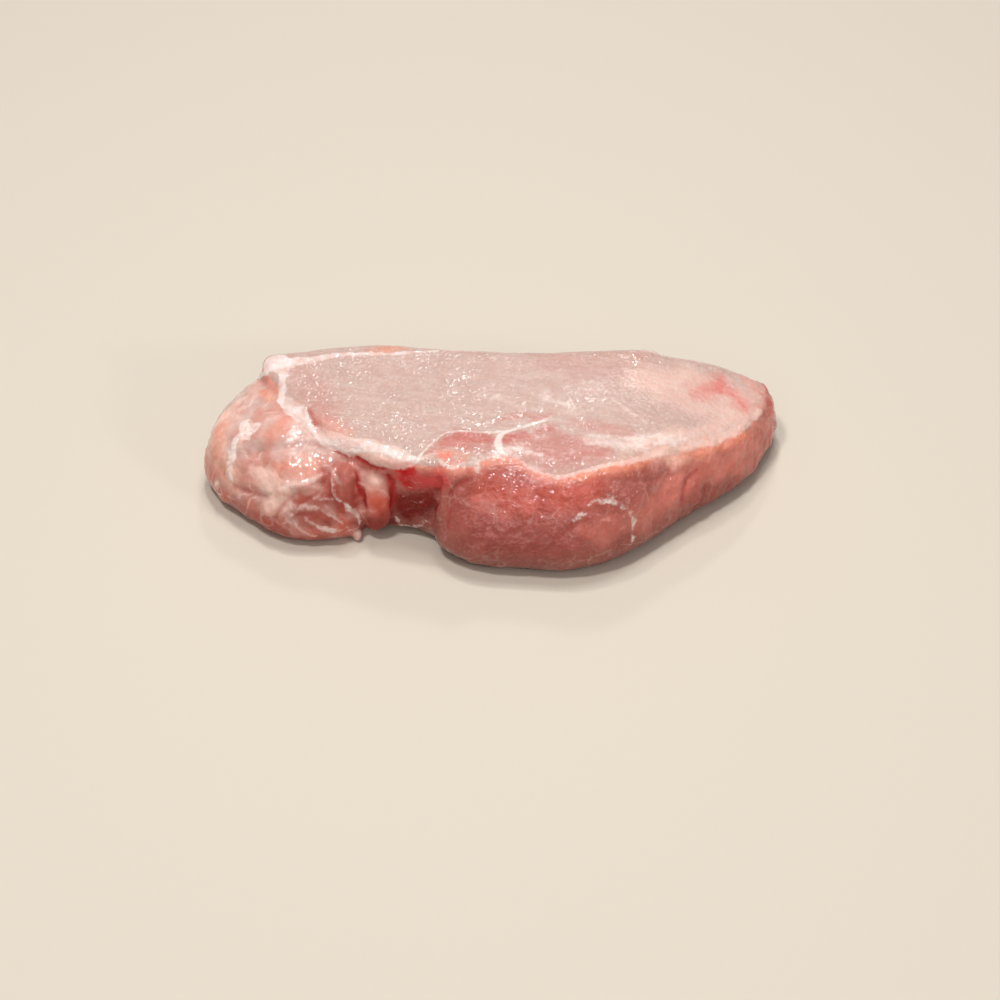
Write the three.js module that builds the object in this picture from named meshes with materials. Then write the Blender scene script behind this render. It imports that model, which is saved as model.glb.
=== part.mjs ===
// A thick-cut boneless pork chop, raw, lying flat on one of its two cut faces.
// Millimetres, +Z up, the long way along X, the origin under the middle of the chop.
//
// The chop is one piece of meat with two main parts. The eye is the large muscle: a slab with a
// flat cut face, thinner at its pointed end. The flap is the fatty bundle of small muscles at the
// other end, softer and rounder. Each is drawn as a girth, the closed curve round the slab at its
// fullest height, whose wall leans in towards the top rim and tucks in again at the foot. Three
// rolls of meat fill the corner in front of the flap, and a thin web, lifted off the ground, joins
// them to the eye. All of it is one depth field, negative inside the meat, and the skin is drawn
// where that field is zero.
import * as THREE from "three";

const { clamp, smoothstep } = THREE.MathUtils;

// The slabs.
const EYE_THICKNESS = 31;
const EYE_TIP_THINNING = 12;
const EYE_TIP_FROM = 44;
const EYE_TIP_TO = 97;
const EYE_RIM_ROUNDING = 5;
const FLAP_THICKNESS = 29.5;
const FLAP_END_DROP = 7;
const FLAP_END_FROM = 60;
const FLAP_END_TO = 92;
const FLAP_FRONT_DROP = 4.5;
const FLAP_FRONT_FROM = -2;
const FLAP_FRONT_TO = 24;
const FLAP_RIM_ROUNDING = 8;

// How a wall runs between foot and rim, as shares of the slab's own height.
const FOOT_SHARE = 0.28;
const WALL_SHARE = 0.3;
const LEAN_POWER = 1.5;

// How softly one form runs into the next.
const SEAM_SOFTNESS = 1.5;

// The skin's fineness.
const GRID = 2.8;
const CURVE_STEPS = 6;
const MARGIN = 2;

const MEAT = { color: 0xd99a90, roughness: 0.42, metalness: 0 };

// Each station is x and y on the girth, the lean of the wall in to the rim, and the tuck of the
// foot. The eye starts at its pointed end and goes round by the front.
const EYE_GIRTH = [
  [90, 29, 3, 5],
  [87, 12, 3, 5],
  [77, -3.5, 3.5, 5],
  [67.5, -12.2, 5, 4.5],
  [56, -22.3, 8, 4.5],
  [41, -35.5, 9.5, 5],
  [25, -42, 14, 5],
  [9, -41.3, 18, 5],
  [-6, -39.3, 18, 5],
  [-15.6, -33, 9, 5],
  [-18.4, -26, 2.5, 4],
  [-24, -22.6, -1, 2],
  [-36, -19, 0, 1],
  [-48.5, -10.5, 0, 4],
  [-59, 2, 0, 4],
  [-67, 14, 0, 4],
  [-72.5, 24, 0, 4],
  [-71, 32.5, 2, 5],
  [-60, 36, 3.5, 6],
  [-38, 39.3, 3.5, 6],
  [-15, 38.6, 5, 6],
  [15, 37.8, 6, 6],
  [48, 39.3, 5.5, 6],
  [57, 37.6, 6, 6],
  [66, 38.6, 6, 6],
  [79, 38, 6, 6],
];

const FLAP_GIRTH = [
  [-64, 30, 0, 4],
  [-76, 27, 1, 4],
  [-86.5, 17.5, 3.5, 4],
  [-90, 5, 4, 4],
  [-87, -5.5, 5, 4],
  [-78, -16, 7, 4],
  [-65, -24.5, 8.5, 4],
  [-52, -27, 9, 4],
  [-42.5, -24.5, 6, 2.5],
  [-37.5, -17, 0.5, 1],
  [-40, 4, 0, 3],
];

// The oval dips and swells of the eye's cut face: centre, reach and height.
const EYE_RELIEF = [
  { x: 18, y: -24, reachX: 9, reachY: 6, height: -2 },
  { x: 0, y: -20, reachX: 9, reachY: 8, height: 0.8 },
];

// The rolls of meat in front of the flap: centre, radii, tilt in degrees and blend.
const ROLLS = [
  { centre: [-57, -17.5, 7], radii: [16.5, 10, 8.5], tilt: [0, 0, -4], blend: 1.5 },
  { centre: [-45.4, -19, 12.8], radii: [5, 6.5, 12.5], tilt: [-6, 6, 0], blend: 1.2 },
  { centre: [-34.9, -18.8, 12.6], radii: [5.3, 6.2, 12.2], tilt: [-4, 4, 0], blend: 1.2 },
];

// The web between the rolls and the eye, where the meat is lifted clear of the ground.
const WEB_LIFT = { x: -26, y: -23, reachX: 8, reachY: 9, height: 3.8 };

// The height that a soft oval bump adds at x, y.
function bump({ x: centreX, y: centreY, reachX, reachY, height }, x, y) {
  return height * Math.exp(-(((x - centreX) / reachX) ** 2) - ((y - centreY) / reachY) ** 2);
}

// The lesser of two depths, rounded over where they are within softness of each other.
function smoothMin(a, b, softness) {
  const share = clamp(0.5 + (0.5 * (b - a)) / softness, 0, 1);
  return b + (a - b) * share - softness * share * (1 - share);
}

function smoothMax(a, b, softness) {
  return -smoothMin(-a, -b, softness);
}

function eyeTop(x, y) {
  const flat = EYE_THICKNESS - EYE_TIP_THINNING * smoothstep(x, EYE_TIP_FROM, EYE_TIP_TO);
  return EYE_RELIEF.reduce((height, relief) => height + bump(relief, x, y), flat);
}

function flapTop(x, y) {
  const end = FLAP_END_DROP * smoothstep(-x, FLAP_END_FROM, FLAP_END_TO);
  const front = FLAP_FRONT_DROP * smoothstep(-y, FLAP_FRONT_FROM, FLAP_FRONT_TO);
  return FLAP_THICKNESS - end - front;
}

// A girth as a smooth closed loop: at each point its place, the way out, the lean and the tuck.
function girthLoop(stations) {
  const closed = (points) => new THREE.CatmullRomCurve3(points, true, "catmullrom", 0.5);
  const places = closed(stations.map(([x, y]) => new THREE.Vector3(x, y, 0)));
  const walls = closed(stations.map(([, , lean, tuck]) => new THREE.Vector3(lean, tuck, 0)));
  const count = stations.length * CURVE_STEPS;
  const loop = [];
  for (let i = 0; i < count; i += 1) {
    const place = places.getPoint(i / count);
    const before = places.getPoint(((i + count - 1) % count) / count);
    const after = places.getPoint(((i + 1) % count) / count);
    const along = after.sub(before).normalize();
    const wall = walls.getPoint(i / count);
    // The eye and the flap run round opposite ways, so the loop's area settles which way is out.
    loop.push({ place, out: new THREE.Vector3(along.y, -along.x, 0), lean: wall.x, tuck: wall.y });
  }
  const area = loop.reduce((sum, { place }, i) => {
    const next = loop[(i + 1) % count].place;
    return sum + place.x * next.y - next.x * place.y;
  }, 0);
  if (area < 0) {
    loop.forEach((point) => point.out.negate());
  }
  return loop;
}

// The slab's outline at height z, as a flat loop of [x, y].
function outlineAt(loop, top, z) {
  return loop.map(({ place, out, lean, tuck }) => {
    const share = z / top(place.x, place.y);
    const leaning = clamp((share - WALL_SHARE) / (1 - WALL_SHARE), 0, 1.2) ** LEAN_POWER;
    const tucking = clamp(1 - share / FOOT_SHARE, 0, 1) ** 2;
    const inset = lean * leaning + tuck * tucking;
    return [place.x - out.x * inset, place.y - out.y * inset];
  });
}

// The distance from x, y to a closed outline, negative inside it.
function outlineDistance(outline, x, y) {
  let nearest = Infinity;
  let inside = false;
  let [fromX, fromY] = outline[outline.length - 1];
  for (const [toX, toY] of outline) {
    const edgeX = toX - fromX;
    const edgeY = toY - fromY;
    const along = ((x - fromX) * edgeX + (y - fromY) * edgeY) / (edgeX ** 2 + edgeY ** 2);
    const share = clamp(along, 0, 1);
    const distance = Math.hypot(x - fromX - edgeX * share, y - fromY - edgeY * share);
    nearest = Math.min(nearest, distance);
    if (fromY > y !== toY > y && x < fromX + ((y - fromY) * edgeX) / edgeY) {
      inside = !inside;
    }
    [fromX, fromY] = [toX, toY];
  }
  return inside ? -nearest : nearest;
}

// A slab as a function that gives, for a height, the depth at any x, y of that level.
function slab(stations, top, rimRounding) {
  const loop = girthLoop(stations);
  return (z) => {
    const outline = outlineAt(loop, top, Math.max(z, 0));
    return (x, y) => smoothMax(outlineDistance(outline, x, y), z - top(x, y), rimRounding);
  };
}

// The depth in a tilted ellipsoid, close to the true distance near its skin.
function roll({ centre, radii, tilt }) {
  const middle = new THREE.Vector3(...centre);
  const size = new THREE.Vector3(...radii);
  const turn = new THREE.Euler(...tilt.map(THREE.MathUtils.degToRad), "ZYX");
  const upright = new THREE.Quaternion().setFromEuler(turn).conjugate();
  return (x, y, z) => {
    const local = new THREE.Vector3(x, y, z).sub(middle).applyQuaternion(upright).divide(size);
    const scaled = local.length();
    return (scaled * (scaled - 1)) / Math.max(local.divide(size).length(), 1e-9);
  };
}

// The whole chop's depth field, level by level.
function chopField() {
  const eye = slab(EYE_GIRTH, eyeTop, EYE_RIM_ROUNDING);
  const flap = slab(FLAP_GIRTH, flapTop, FLAP_RIM_ROUNDING);
  const rolls = ROLLS.map((form) => ({ depth: roll(form), blend: form.blend }));
  return (z) => {
    const eyeLevel = eye(z);
    const flapLevel = flap(z);
    return (x, y) => {
      let depth = smoothMin(eyeLevel(x, y), flapLevel(x, y), SEAM_SOFTNESS);
      for (const form of rolls) {
        depth = smoothMin(depth, form.depth(x, y, z), form.blend);
      }
      return Math.max(depth, bump(WEB_LIFT, x, y) - z, -z);
    };
  };
}

// A box of evenly spaced places round the chop, with the field's value at each. The levels start
// half a step under the ground, so that none lies in the flat underside.
function sampleField(levelAt) {
  const xs = EYE_GIRTH.concat(FLAP_GIRTH).map(([x]) => x);
  const ys = EYE_GIRTH.concat(FLAP_GIRTH).map(([, y]) => y);
  const low = [Math.min(...xs) - MARGIN * GRID, Math.min(...ys) - MARGIN * GRID, -GRID / 2];
  const high = [Math.max(...xs), Math.max(...ys), EYE_THICKNESS].map((end) => end + MARGIN * GRID);
  const size = low.map((start, axis) => Math.ceil((high[axis] - start) / GRID) + 1);
  const values = new Float64Array(size[0] * size[1] * size[2]);
  const at = (i, j, k) => i + size[0] * (j + size[1] * k);
  for (let k = 0; k < size[2]; k += 1) {
    const level = levelAt(low[2] + k * GRID);
    for (let j = 0; j < size[1]; j += 1) {
      for (let i = 0; i < size[0]; i += 1) {
        values[at(i, j, k)] = level(low[0] + i * GRID, low[1] + j * GRID);
      }
    }
  }
  return { low, size, values, at };
}

// The skin where the sampled field is zero. Each cell that the skin passes through gets one
// vertex, at the mean of the places where the skin crosses the cell's edges, and each crossed
// edge gets one face between the four cells round it.
function drawSkin({ low, size, values, at }) {
  const strides = [1, size[0], size[0] * size[1]];
  const corners = [0, 1, 2, 3, 4, 5, 6, 7].map((n) => [n & 1, (n >> 1) & 1, n >> 2]);
  const vertexOf = new Map();
  const positions = [];
  const addVertex = (cell, i, j, k) => {
    const sum = [0, 0, 0];
    let crossings = 0;
    for (const corner of corners) {
      const start = cell + corner[0] * strides[0] + corner[1] * strides[1] + corner[2] * strides[2];
      for (let axis = 0; axis < 3; axis += 1) {
        const end = start + strides[axis];
        if (corner[axis] === 0 && values[start] < 0 !== values[end] < 0) {
          const share = values[start] / (values[start] - values[end]);
          corner.forEach((step, n) => {
            sum[n] += step + (n === axis ? share : 0);
          });
          crossings += 1;
        }
      }
    }
    if (crossings > 0) {
      vertexOf.set(cell, positions.length / 3);
      [i, j, k].forEach((step, n) => positions.push(low[n] + GRID * (step + sum[n] / crossings)));
    }
  };
  for (let k = 0; k < size[2] - 1; k += 1) {
    for (let j = 0; j < size[1] - 1; j += 1) {
      for (let i = 0; i < size[0] - 1; i += 1) {
        addVertex(at(i, j, k), i, j, k);
      }
    }
  }

  const gap = (a, b) => Math.hypot(...[0, 1, 2].map((n) => positions[3 * a + n] - positions[3 * b + n]));
  const triangles = [];
  const addFace = (start, axis) => {
    const side = strides[(axis + 1) % 3];
    const rise = strides[(axis + 2) % 3];
    const ring = [start - side - rise, start - rise, start, start - side];
    const [a, b, c, d] = ring.map((cell) => vertexOf.get(cell));
    const outward = values[start] < 0;
    // The shorter diagonal follows the meat's folds best.
    const halves = gap(a, c) < gap(b, d) ? [[a, b, c], [a, c, d]] : [[a, b, d], [b, c, d]];
    halves.forEach((half) => triangles.push(...(outward ? half : half.reverse())));
  };
  for (let k = 1; k < size[2] - 1; k += 1) {
    for (let j = 1; j < size[1] - 1; j += 1) {
      for (let i = 1; i < size[0] - 1; i += 1) {
        strides.forEach((stride, axis) => {
          const start = at(i, j, k);
          if (values[start] < 0 !== values[start + stride] < 0) {
            addFace(start, axis);
          }
        });
      }
    }
  }
  // The lowest level has crossings only along Z, into the flat underside.
  for (let j = 1; j < size[1] - 1; j += 1) {
    for (let i = 1; i < size[0] - 1; i += 1) {
      const start = at(i, j, 0);
      if (values[start] < 0 !== values[start + strides[2]] < 0) {
        addFace(start, 2);
      }
    }
  }
  return { positions, triangles };
}

function makeChop() {
  const { positions, triangles } = drawSkin(sampleField(chopField()));
  const geometry = new THREE.BufferGeometry();
  geometry.setAttribute("position", new THREE.Float32BufferAttribute(positions, 3));
  geometry.setIndex(triangles);
  geometry.computeBoundingBox();
  const middle = geometry.boundingBox.getCenter(new THREE.Vector3());
  geometry.translate(-middle.x, -middle.y, -geometry.boundingBox.min.z);
  geometry.computeVertexNormals();
  const chop = new THREE.Mesh(geometry, new THREE.MeshStandardMaterial(MEAT));
  chop.name = "chop";
  return chop;
}

const porkChop = new THREE.Group();
porkChop.add(makeChop());

export default porkChop;
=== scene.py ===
# %% [markdown]
# # A thick raw pork chop
# A boneless loin chop lies on one of its two cut faces. It is one piece of meat: the eye, a big
# pale muscle, and the flap, a softer, fattier bundle at one end, with a notch between them. This
# notebook loads the plain chop that the workshop machined and dresses it: first a finer skin of
# the same form, then the seams, creases and grain, then the wet flesh and fat themselves.

import math
import bpy
import numpy as np
from mathutils import Matrix, Vector, noise
from mathutils.bvhtree import BVHTree


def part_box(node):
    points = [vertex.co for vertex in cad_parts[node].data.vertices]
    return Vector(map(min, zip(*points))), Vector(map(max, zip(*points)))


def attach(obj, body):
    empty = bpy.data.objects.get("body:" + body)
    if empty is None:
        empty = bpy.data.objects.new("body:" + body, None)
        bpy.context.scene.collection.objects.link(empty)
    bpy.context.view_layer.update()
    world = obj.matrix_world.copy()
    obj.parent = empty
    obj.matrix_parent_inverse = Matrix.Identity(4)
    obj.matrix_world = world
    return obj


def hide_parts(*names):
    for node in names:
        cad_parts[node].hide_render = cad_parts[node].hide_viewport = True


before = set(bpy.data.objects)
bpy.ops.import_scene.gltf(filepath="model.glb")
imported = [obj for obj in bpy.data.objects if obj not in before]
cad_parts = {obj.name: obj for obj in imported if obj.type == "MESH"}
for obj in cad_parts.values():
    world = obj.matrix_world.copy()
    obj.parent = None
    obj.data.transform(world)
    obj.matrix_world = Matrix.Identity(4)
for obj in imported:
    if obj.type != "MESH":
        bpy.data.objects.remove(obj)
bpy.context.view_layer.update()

# %% [markdown]
# ## The camera
# A long lens from a good arm's length keeps the chop's sides nearly parallel. It looks down at a
# steep slant, because a chop is mostly its cut face. The camera comes first, so that every later
# step can be looked at through it. Lengths in this notebook are millimetres, and MM turns them
# into Blender's metres.

# %% Place the camera
MM = 0.001
CAMERA_SPOT = (2.3, -681.9, 610.6)
CAMERA_SLANT = 42
CAMERA_LENS = 105

lens = bpy.data.cameras.new("camera")
lens.lens = CAMERA_LENS
camera = bpy.data.objects.new("camera", lens)
camera.location = Vector(CAMERA_SPOT) * MM
camera.rotation_euler = (math.radians(90 - CAMERA_SLANT), 0, 0)
bpy.context.collection.objects.link(camera)
bpy.context.scene.camera = camera
print("camera", round(camera.location.length, 3), "m away")

# %% [markdown]
# ## The form, as a depth field
# Meat has no edges to extrude and no parts to join, so neither box modelling nor booleans suit
# it. A depth field does: a function that says, for any spot, how deep it lies in the meat, with
# negative values inside. Two fields join with a soft minimum, which fillets the fold between
# them. The sizes are those that the plain chop was made from, so the two agree. Only the undercut
# at the knuckle's foot is new here.

# %% Sizes of the two slabs and the rolls of meat
EYE_THICKNESS = 31
EYE_TIP_THINNING = 12
EYE_TIP_FROM = 44
EYE_TIP_TO = 97
EYE_RIM_ROUNDING = 5
FLAP_THICKNESS = 29.5
FLAP_END_DROP = 7
FLAP_END_FROM = 60
FLAP_END_TO = 92
FLAP_FRONT_DROP = 4.5
FLAP_FRONT_FROM = -2
FLAP_FRONT_TO = 24
FLAP_RIM_ROUNDING = 8
FOOT_SHARE = 0.28
WALL_SHARE = 0.3
LEAN_POWER = 1.5
SEAM_SOFTNESS = 1.5

# Each station is x and y on the girth, the lean of the wall in to the rim, and the foot's tuck.
EYE_GIRTH = [
    (90, 29, 3, 5), (87, 12, 3, 5), (77, -3.5, 3.5, 5), (67.5, -12.2, 5, 4.5),
    (56, -22.3, 8, 4.5), (41, -35.5, 9.5, 5), (25, -42, 14, 5), (9, -41.3, 18, 5),
    (-6, -39.3, 18, 5), (-15.6, -33, 9, 5), (-18.4, -26, 2.5, 4), (-24, -22.6, -1, 2),
    (-36, -19, 0, 1), (-48.5, -10.5, 0, 4), (-59, 2, 0, 4), (-67, 14, 0, 4),
    (-72.5, 24, 0, 4), (-71, 32.5, 2, 5), (-60, 36, 3.5, 6), (-38, 39.3, 3.5, 6),
    (-15, 38.6, 5, 6), (15, 37.8, 6, 6), (48, 39.3, 5.5, 6), (57, 37.6, 6, 6),
    (66, 38.6, 6, 6), (79, 38, 6, 6),
]
FLAP_GIRTH = [
    (-64, 30, 0, 4), (-76, 27, 1, 4), (-86.5, 17.5, 3.5, 4), (-90, 5, 4, 4),
    (-87, -5.5, 5, 4), (-78, -16, 7, 4), (-65, -24.5, 8.5, 4), (-52, -27, 9, 4),
    (-42.5, -24.5, 6, 2.5), (-37.5, -17, 0.5, 1), (-40, 4, 0, 3),
]

# The dips and swells of the eye's cut face, and what is lifted off the ground between the flap
# and the eye, the web and the knuckle's foot: centre x and y, reach along x and y, and height.
EYE_RELIEF = [(18, -24, 9, 6, -2), (0, -20, 9, 8, 0.8)]
LIFTS = [(-26, -23, 8, 9, 3.8), (-35, -23, 4, 4.5, 3.8)]

# The rolls of meat in front of the flap: centre, radii, tilt in degrees and blend.
ROLLS = [
    ((-57, -17.5, 7), (16.5, 10, 8.5), (0, 0, -4), 1.5),
    ((-45.4, -19, 12.8), (5, 6.5, 12.5), (-6, 6, 0), 1.2),
    ((-34.9, -18.8, 12.6), (5.3, 6.2, 12.2), (-4, 4, 0), 1.2),
]
print(len(EYE_GIRTH) + len(FLAP_GIRTH), "stations and", len(ROLLS), "rolls")


# %% [markdown]
# Three small helpers shape every field: a soft step from 0 to 1, the soft minimum that fillets
# one form into the next, and a soft oval bump.

# %% Steps, fillets and bumps
def soft_step(value, start, end):
    share = np.clip((value - start) / (end - start), 0, 1)
    return share * share * (3 - 2 * share)


def soft_min(a, b, softness):
    share = np.clip(0.5 + 0.5 * (b - a) / softness, 0, 1)
    return b + (a - b) * share - softness * share * (1 - share)


def soft_max(a, b, softness):
    return -soft_min(-a, -b, softness)


def bump(x, y, form):
    centre_x, centre_y, reach_x, reach_y, height = form
    return height * np.exp(-(((x - centre_x) / reach_x) ** 2) - ((y - centre_y) / reach_y) ** 2)


print("half way up a soft step:", soft_step(0.5, 0, 1))


# %% [markdown]
# A slab is its girth, the closed curve round it where it is fullest, and a wall. The wall leans
# in above that height and tucks in again at the foot, where the soft meat rolls under itself.

# %% Girths and walls
CURVE_STEPS = 6


def smooth_curve(stations, steps, closed=True):
    """A smooth curve through the stations, for every value that a station holds."""
    held = np.array(stations, float)
    if not closed:
        held = np.vstack([2 * held[0] - held[1], held, 2 * held[-1] - held[-2]])
    share = np.arange(steps)[:, None] / steps
    before, here, after, beyond = (np.roll(held, turn, axis=0)[:, None] for turn in (1, 0, -1, -2))
    curve = 0.5 * (
        2 * here
        + (after - before) * share
        + (2 * before - 5 * here + 4 * after - beyond) * share**2
        + (3 * here - before - 3 * after + beyond) * share**3
    )
    curve = curve.reshape(-1, held.shape[1])
    return curve if closed else np.vstack([curve[steps:-2 * steps], held[-2]])


def outline_at(girth, top, z):
    """The slab's outline at height z."""
    places, lean, tuck = girth[:, :2], girth[:, 2], girth[:, 3]
    along = np.roll(places, -1, axis=0) - np.roll(places, 1, axis=0)
    out = np.stack([along[:, 1], -along[:, 0]], axis=1)
    out /= np.linalg.norm(out, axis=1, keepdims=True)
    following = np.roll(places, -1, axis=0)
    area = np.sum(places[:, 0] * following[:, 1] - following[:, 0] * places[:, 1])
    share = z / top(places[:, 0], places[:, 1])
    leaning = np.clip((share - WALL_SHARE) / (1 - WALL_SHARE), 0, 1.2) ** LEAN_POWER
    tucking = np.clip(1 - share / FOOT_SHARE, 0, 1) ** 2
    return places - np.sign(area) * out * (lean * leaning + tuck * tucking)[:, None]


def outline_distance(x, y, outline):
    """How far x, y lies outside a closed outline, negative inside it."""
    nearest = np.full(x.shape, np.inf)
    inside = np.zeros(x.shape, bool)
    for (from_x, from_y), (to_x, to_y) in zip(np.roll(outline, 1, axis=0), outline):
        edge_x, edge_y = to_x - from_x, to_y - from_y
        away_x, away_y = x - from_x, y - from_y
        share = np.clip((away_x * edge_x + away_y * edge_y) / (edge_x**2 + edge_y**2), 0, 1)
        away = (away_x - edge_x * share) ** 2 + (away_y - edge_y * share) ** 2
        nearest = np.minimum(nearest, away)
        if from_y != to_y:
            inside ^= ((from_y > y) != (to_y > y)) & (away_x < away_y * edge_x / edge_y)
    return np.where(inside, -1, 1) * np.sqrt(nearest)


eye_girth = smooth_curve(EYE_GIRTH, CURVE_STEPS)
flap_girth = smooth_curve(FLAP_GIRTH, CURVE_STEPS)
print("girths drawn with", len(eye_girth), "and", len(flap_girth), "points")


# %% [markdown]
# The tops are nearly flat, as a knife leaves them. The eye thins towards its pointed end, and
# the flap slumps at its end and front.

# %% Tops of the eye and the flap, and the rolls
def eye_top(x, y):
    height = EYE_THICKNESS - EYE_TIP_THINNING * soft_step(x, EYE_TIP_FROM, EYE_TIP_TO)
    return height + sum(bump(x, y, form) for form in EYE_RELIEF)


def flap_top(x, y):
    end = FLAP_END_DROP * soft_step(-x, FLAP_END_FROM, FLAP_END_TO)
    front = FLAP_FRONT_DROP * soft_step(-y, FLAP_FRONT_FROM, FLAP_FRONT_TO)
    return FLAP_THICKNESS - end - front


def turned(tilt):
    """The turn by tilt degrees about x, then y, then z, as a matrix."""
    rows = [Matrix.Rotation(math.radians(angle), 3, axis) for angle, axis in zip(tilt, "XYZ")]
    return np.array(rows[2] @ rows[1] @ rows[0])


def roll_depth(spots, centre, radii, tilt):
    """How far spots lie outside a tilted ellipsoid, true close to its skin."""
    local = (spots - np.array(centre)) @ turned(tilt) / np.array(radii)
    scaled = np.linalg.norm(local, axis=-1)
    return scaled * (scaled - 1) / np.maximum(np.linalg.norm(local / np.array(radii), axis=-1), 1e-9)


print("eye", eye_top(0.0, 0.0).round(2), "mm thick, flap", flap_top(-70.0, 0.0).round(2), "mm")

# %% [markdown]
# ## A finer skin
# The plain chop's skin has facets of nearly 3 mm, fine for a machine and coarse for the eye. The
# same field is sampled here four times as finely. Small bits that only a close look shows, such
# as the rags of fat at the foot of the notch, are blended in as little rolls of their own.

# %% Little rags and lumps of fat
# Centre, radii, tilt and blend, as the rolls above.
RAGS = [
    ((-85.2, -8.2, 8.6), (1.2, 0.7, 1.2), (0, 30, 30), 1.2),
    ((-41.2, -24.2, 2.1), (1.6, 1.4, 1.8), (0, 14, 0), 2.5),
]
GRID = 0.72
MARGIN = 2.5


def sample_axis(low, high, start):
    return start + GRID * np.arange(math.floor((low - start) / GRID), math.ceil((high - start) / GRID) + 1)


stations = np.array(EYE_GIRTH + FLAP_GIRTH)
xs = sample_axis(stations[:, 0].min() - MARGIN, stations[:, 0].max() + MARGIN, 0)
ys = sample_axis(stations[:, 1].min() - MARGIN, stations[:, 1].max() + MARGIN, 0)
zs = sample_axis(-GRID / 2, EYE_THICKNESS + MARGIN, -GRID / 2)
print("field of", len(xs), "x", len(ys), "x", len(zs), "samples")


# %% Sample the field
def slab_depths(girth, top, rim_rounding):
    """A slab's depth at every sample."""
    x, y = np.meshgrid(xs, ys, indexing="ij")
    levels = []
    for z in zs:
        outside = outline_distance(x, y, outline_at(girth, top, max(z, 0)))
        levels.append(soft_max(outside, z - top(x, y), rim_rounding))
    return np.stack(levels, axis=-1)


def chop_depths():
    """The whole chop's depth at every sample."""
    depths = soft_min(
        slab_depths(eye_girth, eye_top, EYE_RIM_ROUNDING),
        slab_depths(flap_girth, flap_top, FLAP_RIM_ROUNDING),
        SEAM_SOFTNESS,
    )
    spots = np.stack(np.meshgrid(xs, ys, zs, indexing="ij"), axis=-1)
    for centre, radii, tilt, blend in ROLLS + RAGS:
        depths = soft_min(depths, roll_depth(spots, centre, radii, tilt), blend)
    lift = sum(bump(spots[..., 0], spots[..., 1], form) for form in LIFTS)
    return np.maximum(depths, np.maximum(lift - spots[..., 2], -spots[..., 2]))


depths = chop_depths()
print("samples inside the meat:", int((depths < 0).sum()))


# %% [markdown]
# Surface nets turn the samples into a skin: each cell that the skin passes through gets one
# point, at the mean of the places where its edges are crossed, and each crossed edge gets one
# four-sided face. It gives neat, even quads, with no slivers.

# %% Draw the skin
def crossing_points(values):
    """One skin point for each crossed cell, and each cell's point number, or -1."""
    cells = [size - 1 for size in values.shape]
    total = np.zeros((*cells, 3))
    count = np.zeros(cells)
    for corner in np.ndindex(2, 2, 2):
        here = values[tuple(slice(step, size + step) for step, size in zip(corner, cells))]
        for axis in range(3):
            if corner[axis] == 1:
                continue
            far = list(corner)
            far[axis] = 1
            there = values[tuple(slice(step, size + step) for step, size in zip(far, cells))]
            crossed = (here < 0) != (there < 0)
            share = np.where(crossed, here / np.where(crossed, here - there, 1), 0)
            total += crossed[..., None] * np.array(corner)
            total[..., axis] += share
            count += crossed
    used = count > 0
    number = np.full(cells, -1)
    number[used] = np.arange(used.sum())
    steps = np.argwhere(used) + total[used] / count[used][:, None]
    return steps * GRID + np.array([xs[0], ys[0], zs[0]]), number


def crossing_faces(values, number):
    """One quad for each crossed edge between samples, facing out of the meat."""
    inside = values < 0
    quads = []
    for axis in range(3):
        side, rise = (axis + 1) % 3, (axis + 2) % 3
        lower = [slice(None)] * 3
        upper = [slice(None)] * 3
        lower[axis], upper[axis] = slice(0, -1), slice(1, None)
        starts = np.argwhere(inside[tuple(lower)] != inside[tuple(upper)])
        ring = []
        for back, down in ((1, 1), (0, 1), (0, 0), (1, 0)):
            cell = starts.copy()
            cell[:, side] -= back
            cell[:, rise] -= down
            ring.append(number[tuple(cell.T)])
        faces = np.stack(ring, axis=1)
        outward = inside[tuple(starts.T)]
        faces[~outward] = faces[~outward][:, ::-1]
        quads.append(faces)
    return np.concatenate(quads)


skin, cell_numbers = crossing_points(depths)
quads = crossing_faces(depths, cell_numbers)
print(len(skin), "points and", len(quads), "quads")


# %% [markdown]
# The points still carry a faint print of the sampling grid. A few rounds of relaxing, each a
# step towards the neighbours' mean and a slightly longer step back, rub it out without shrinking
# the chop. Blender's Smooth modifier would do the first half only.

# %% Relax the skin
RELAX_ROUNDS = 5
RELAX_STEPS = (0.5, -0.52)

edges = np.concatenate([quads[:, [n, (n + 1) % 4]] for n in range(4)])
edges = np.unique(np.sort(edges, axis=1), axis=0)
neighbours = np.bincount(edges.ravel(), minlength=len(skin))[:, None]


def neighbour_mean(values):
    total = np.zeros_like(values)
    np.add.at(total, edges[:, 0], values[edges[:, 1]])
    np.add.at(total, edges[:, 1], values[edges[:, 0]])
    return total / neighbours


for _ in range(RELAX_ROUNDS):
    for step in RELAX_STEPS:
        skin = skin + step * (neighbour_mean(skin) - skin)
skin[:, 2] = np.maximum(skin[:, 2], 0)


def skin_normals(points):
    """The way out at each point, from the quads round it."""
    across = np.cross(points[quads[:, 2]] - points[quads[:, 0]], points[quads[:, 3]] - points[quads[:, 1]])
    total = np.zeros_like(points)
    for n in range(4):
        np.add.at(total, quads[:, n], across)
    return total / np.maximum(np.linalg.norm(total, axis=1, keepdims=True), 1e-9)


plain_normals = skin_normals(skin)
print("skin spans", np.round(skin.max(axis=0) - skin.min(axis=0), 2), "mm")

# %% [markdown]
# ## Laying seams on the skin
# Fat seams, creases and stains all follow lines on the skin. Each is given as a few stations of
# x, y, z and half width. A smooth curve through them is dropped on the nearest skin, and every
# skin point then learns how far it lies outside the line's edge. That distance is worth more
# than a painted mask: the material can cut it anywhere, with an edge as crisp or ragged as the
# real one, and the relief can press a groove along it.

# %% Lay lines and measure from them
LINE_STEP = 1.0
LINE_REACH = 7.0

skin_tree = BVHTree.FromPolygons(skin.tolist(), quads.tolist())


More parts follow.
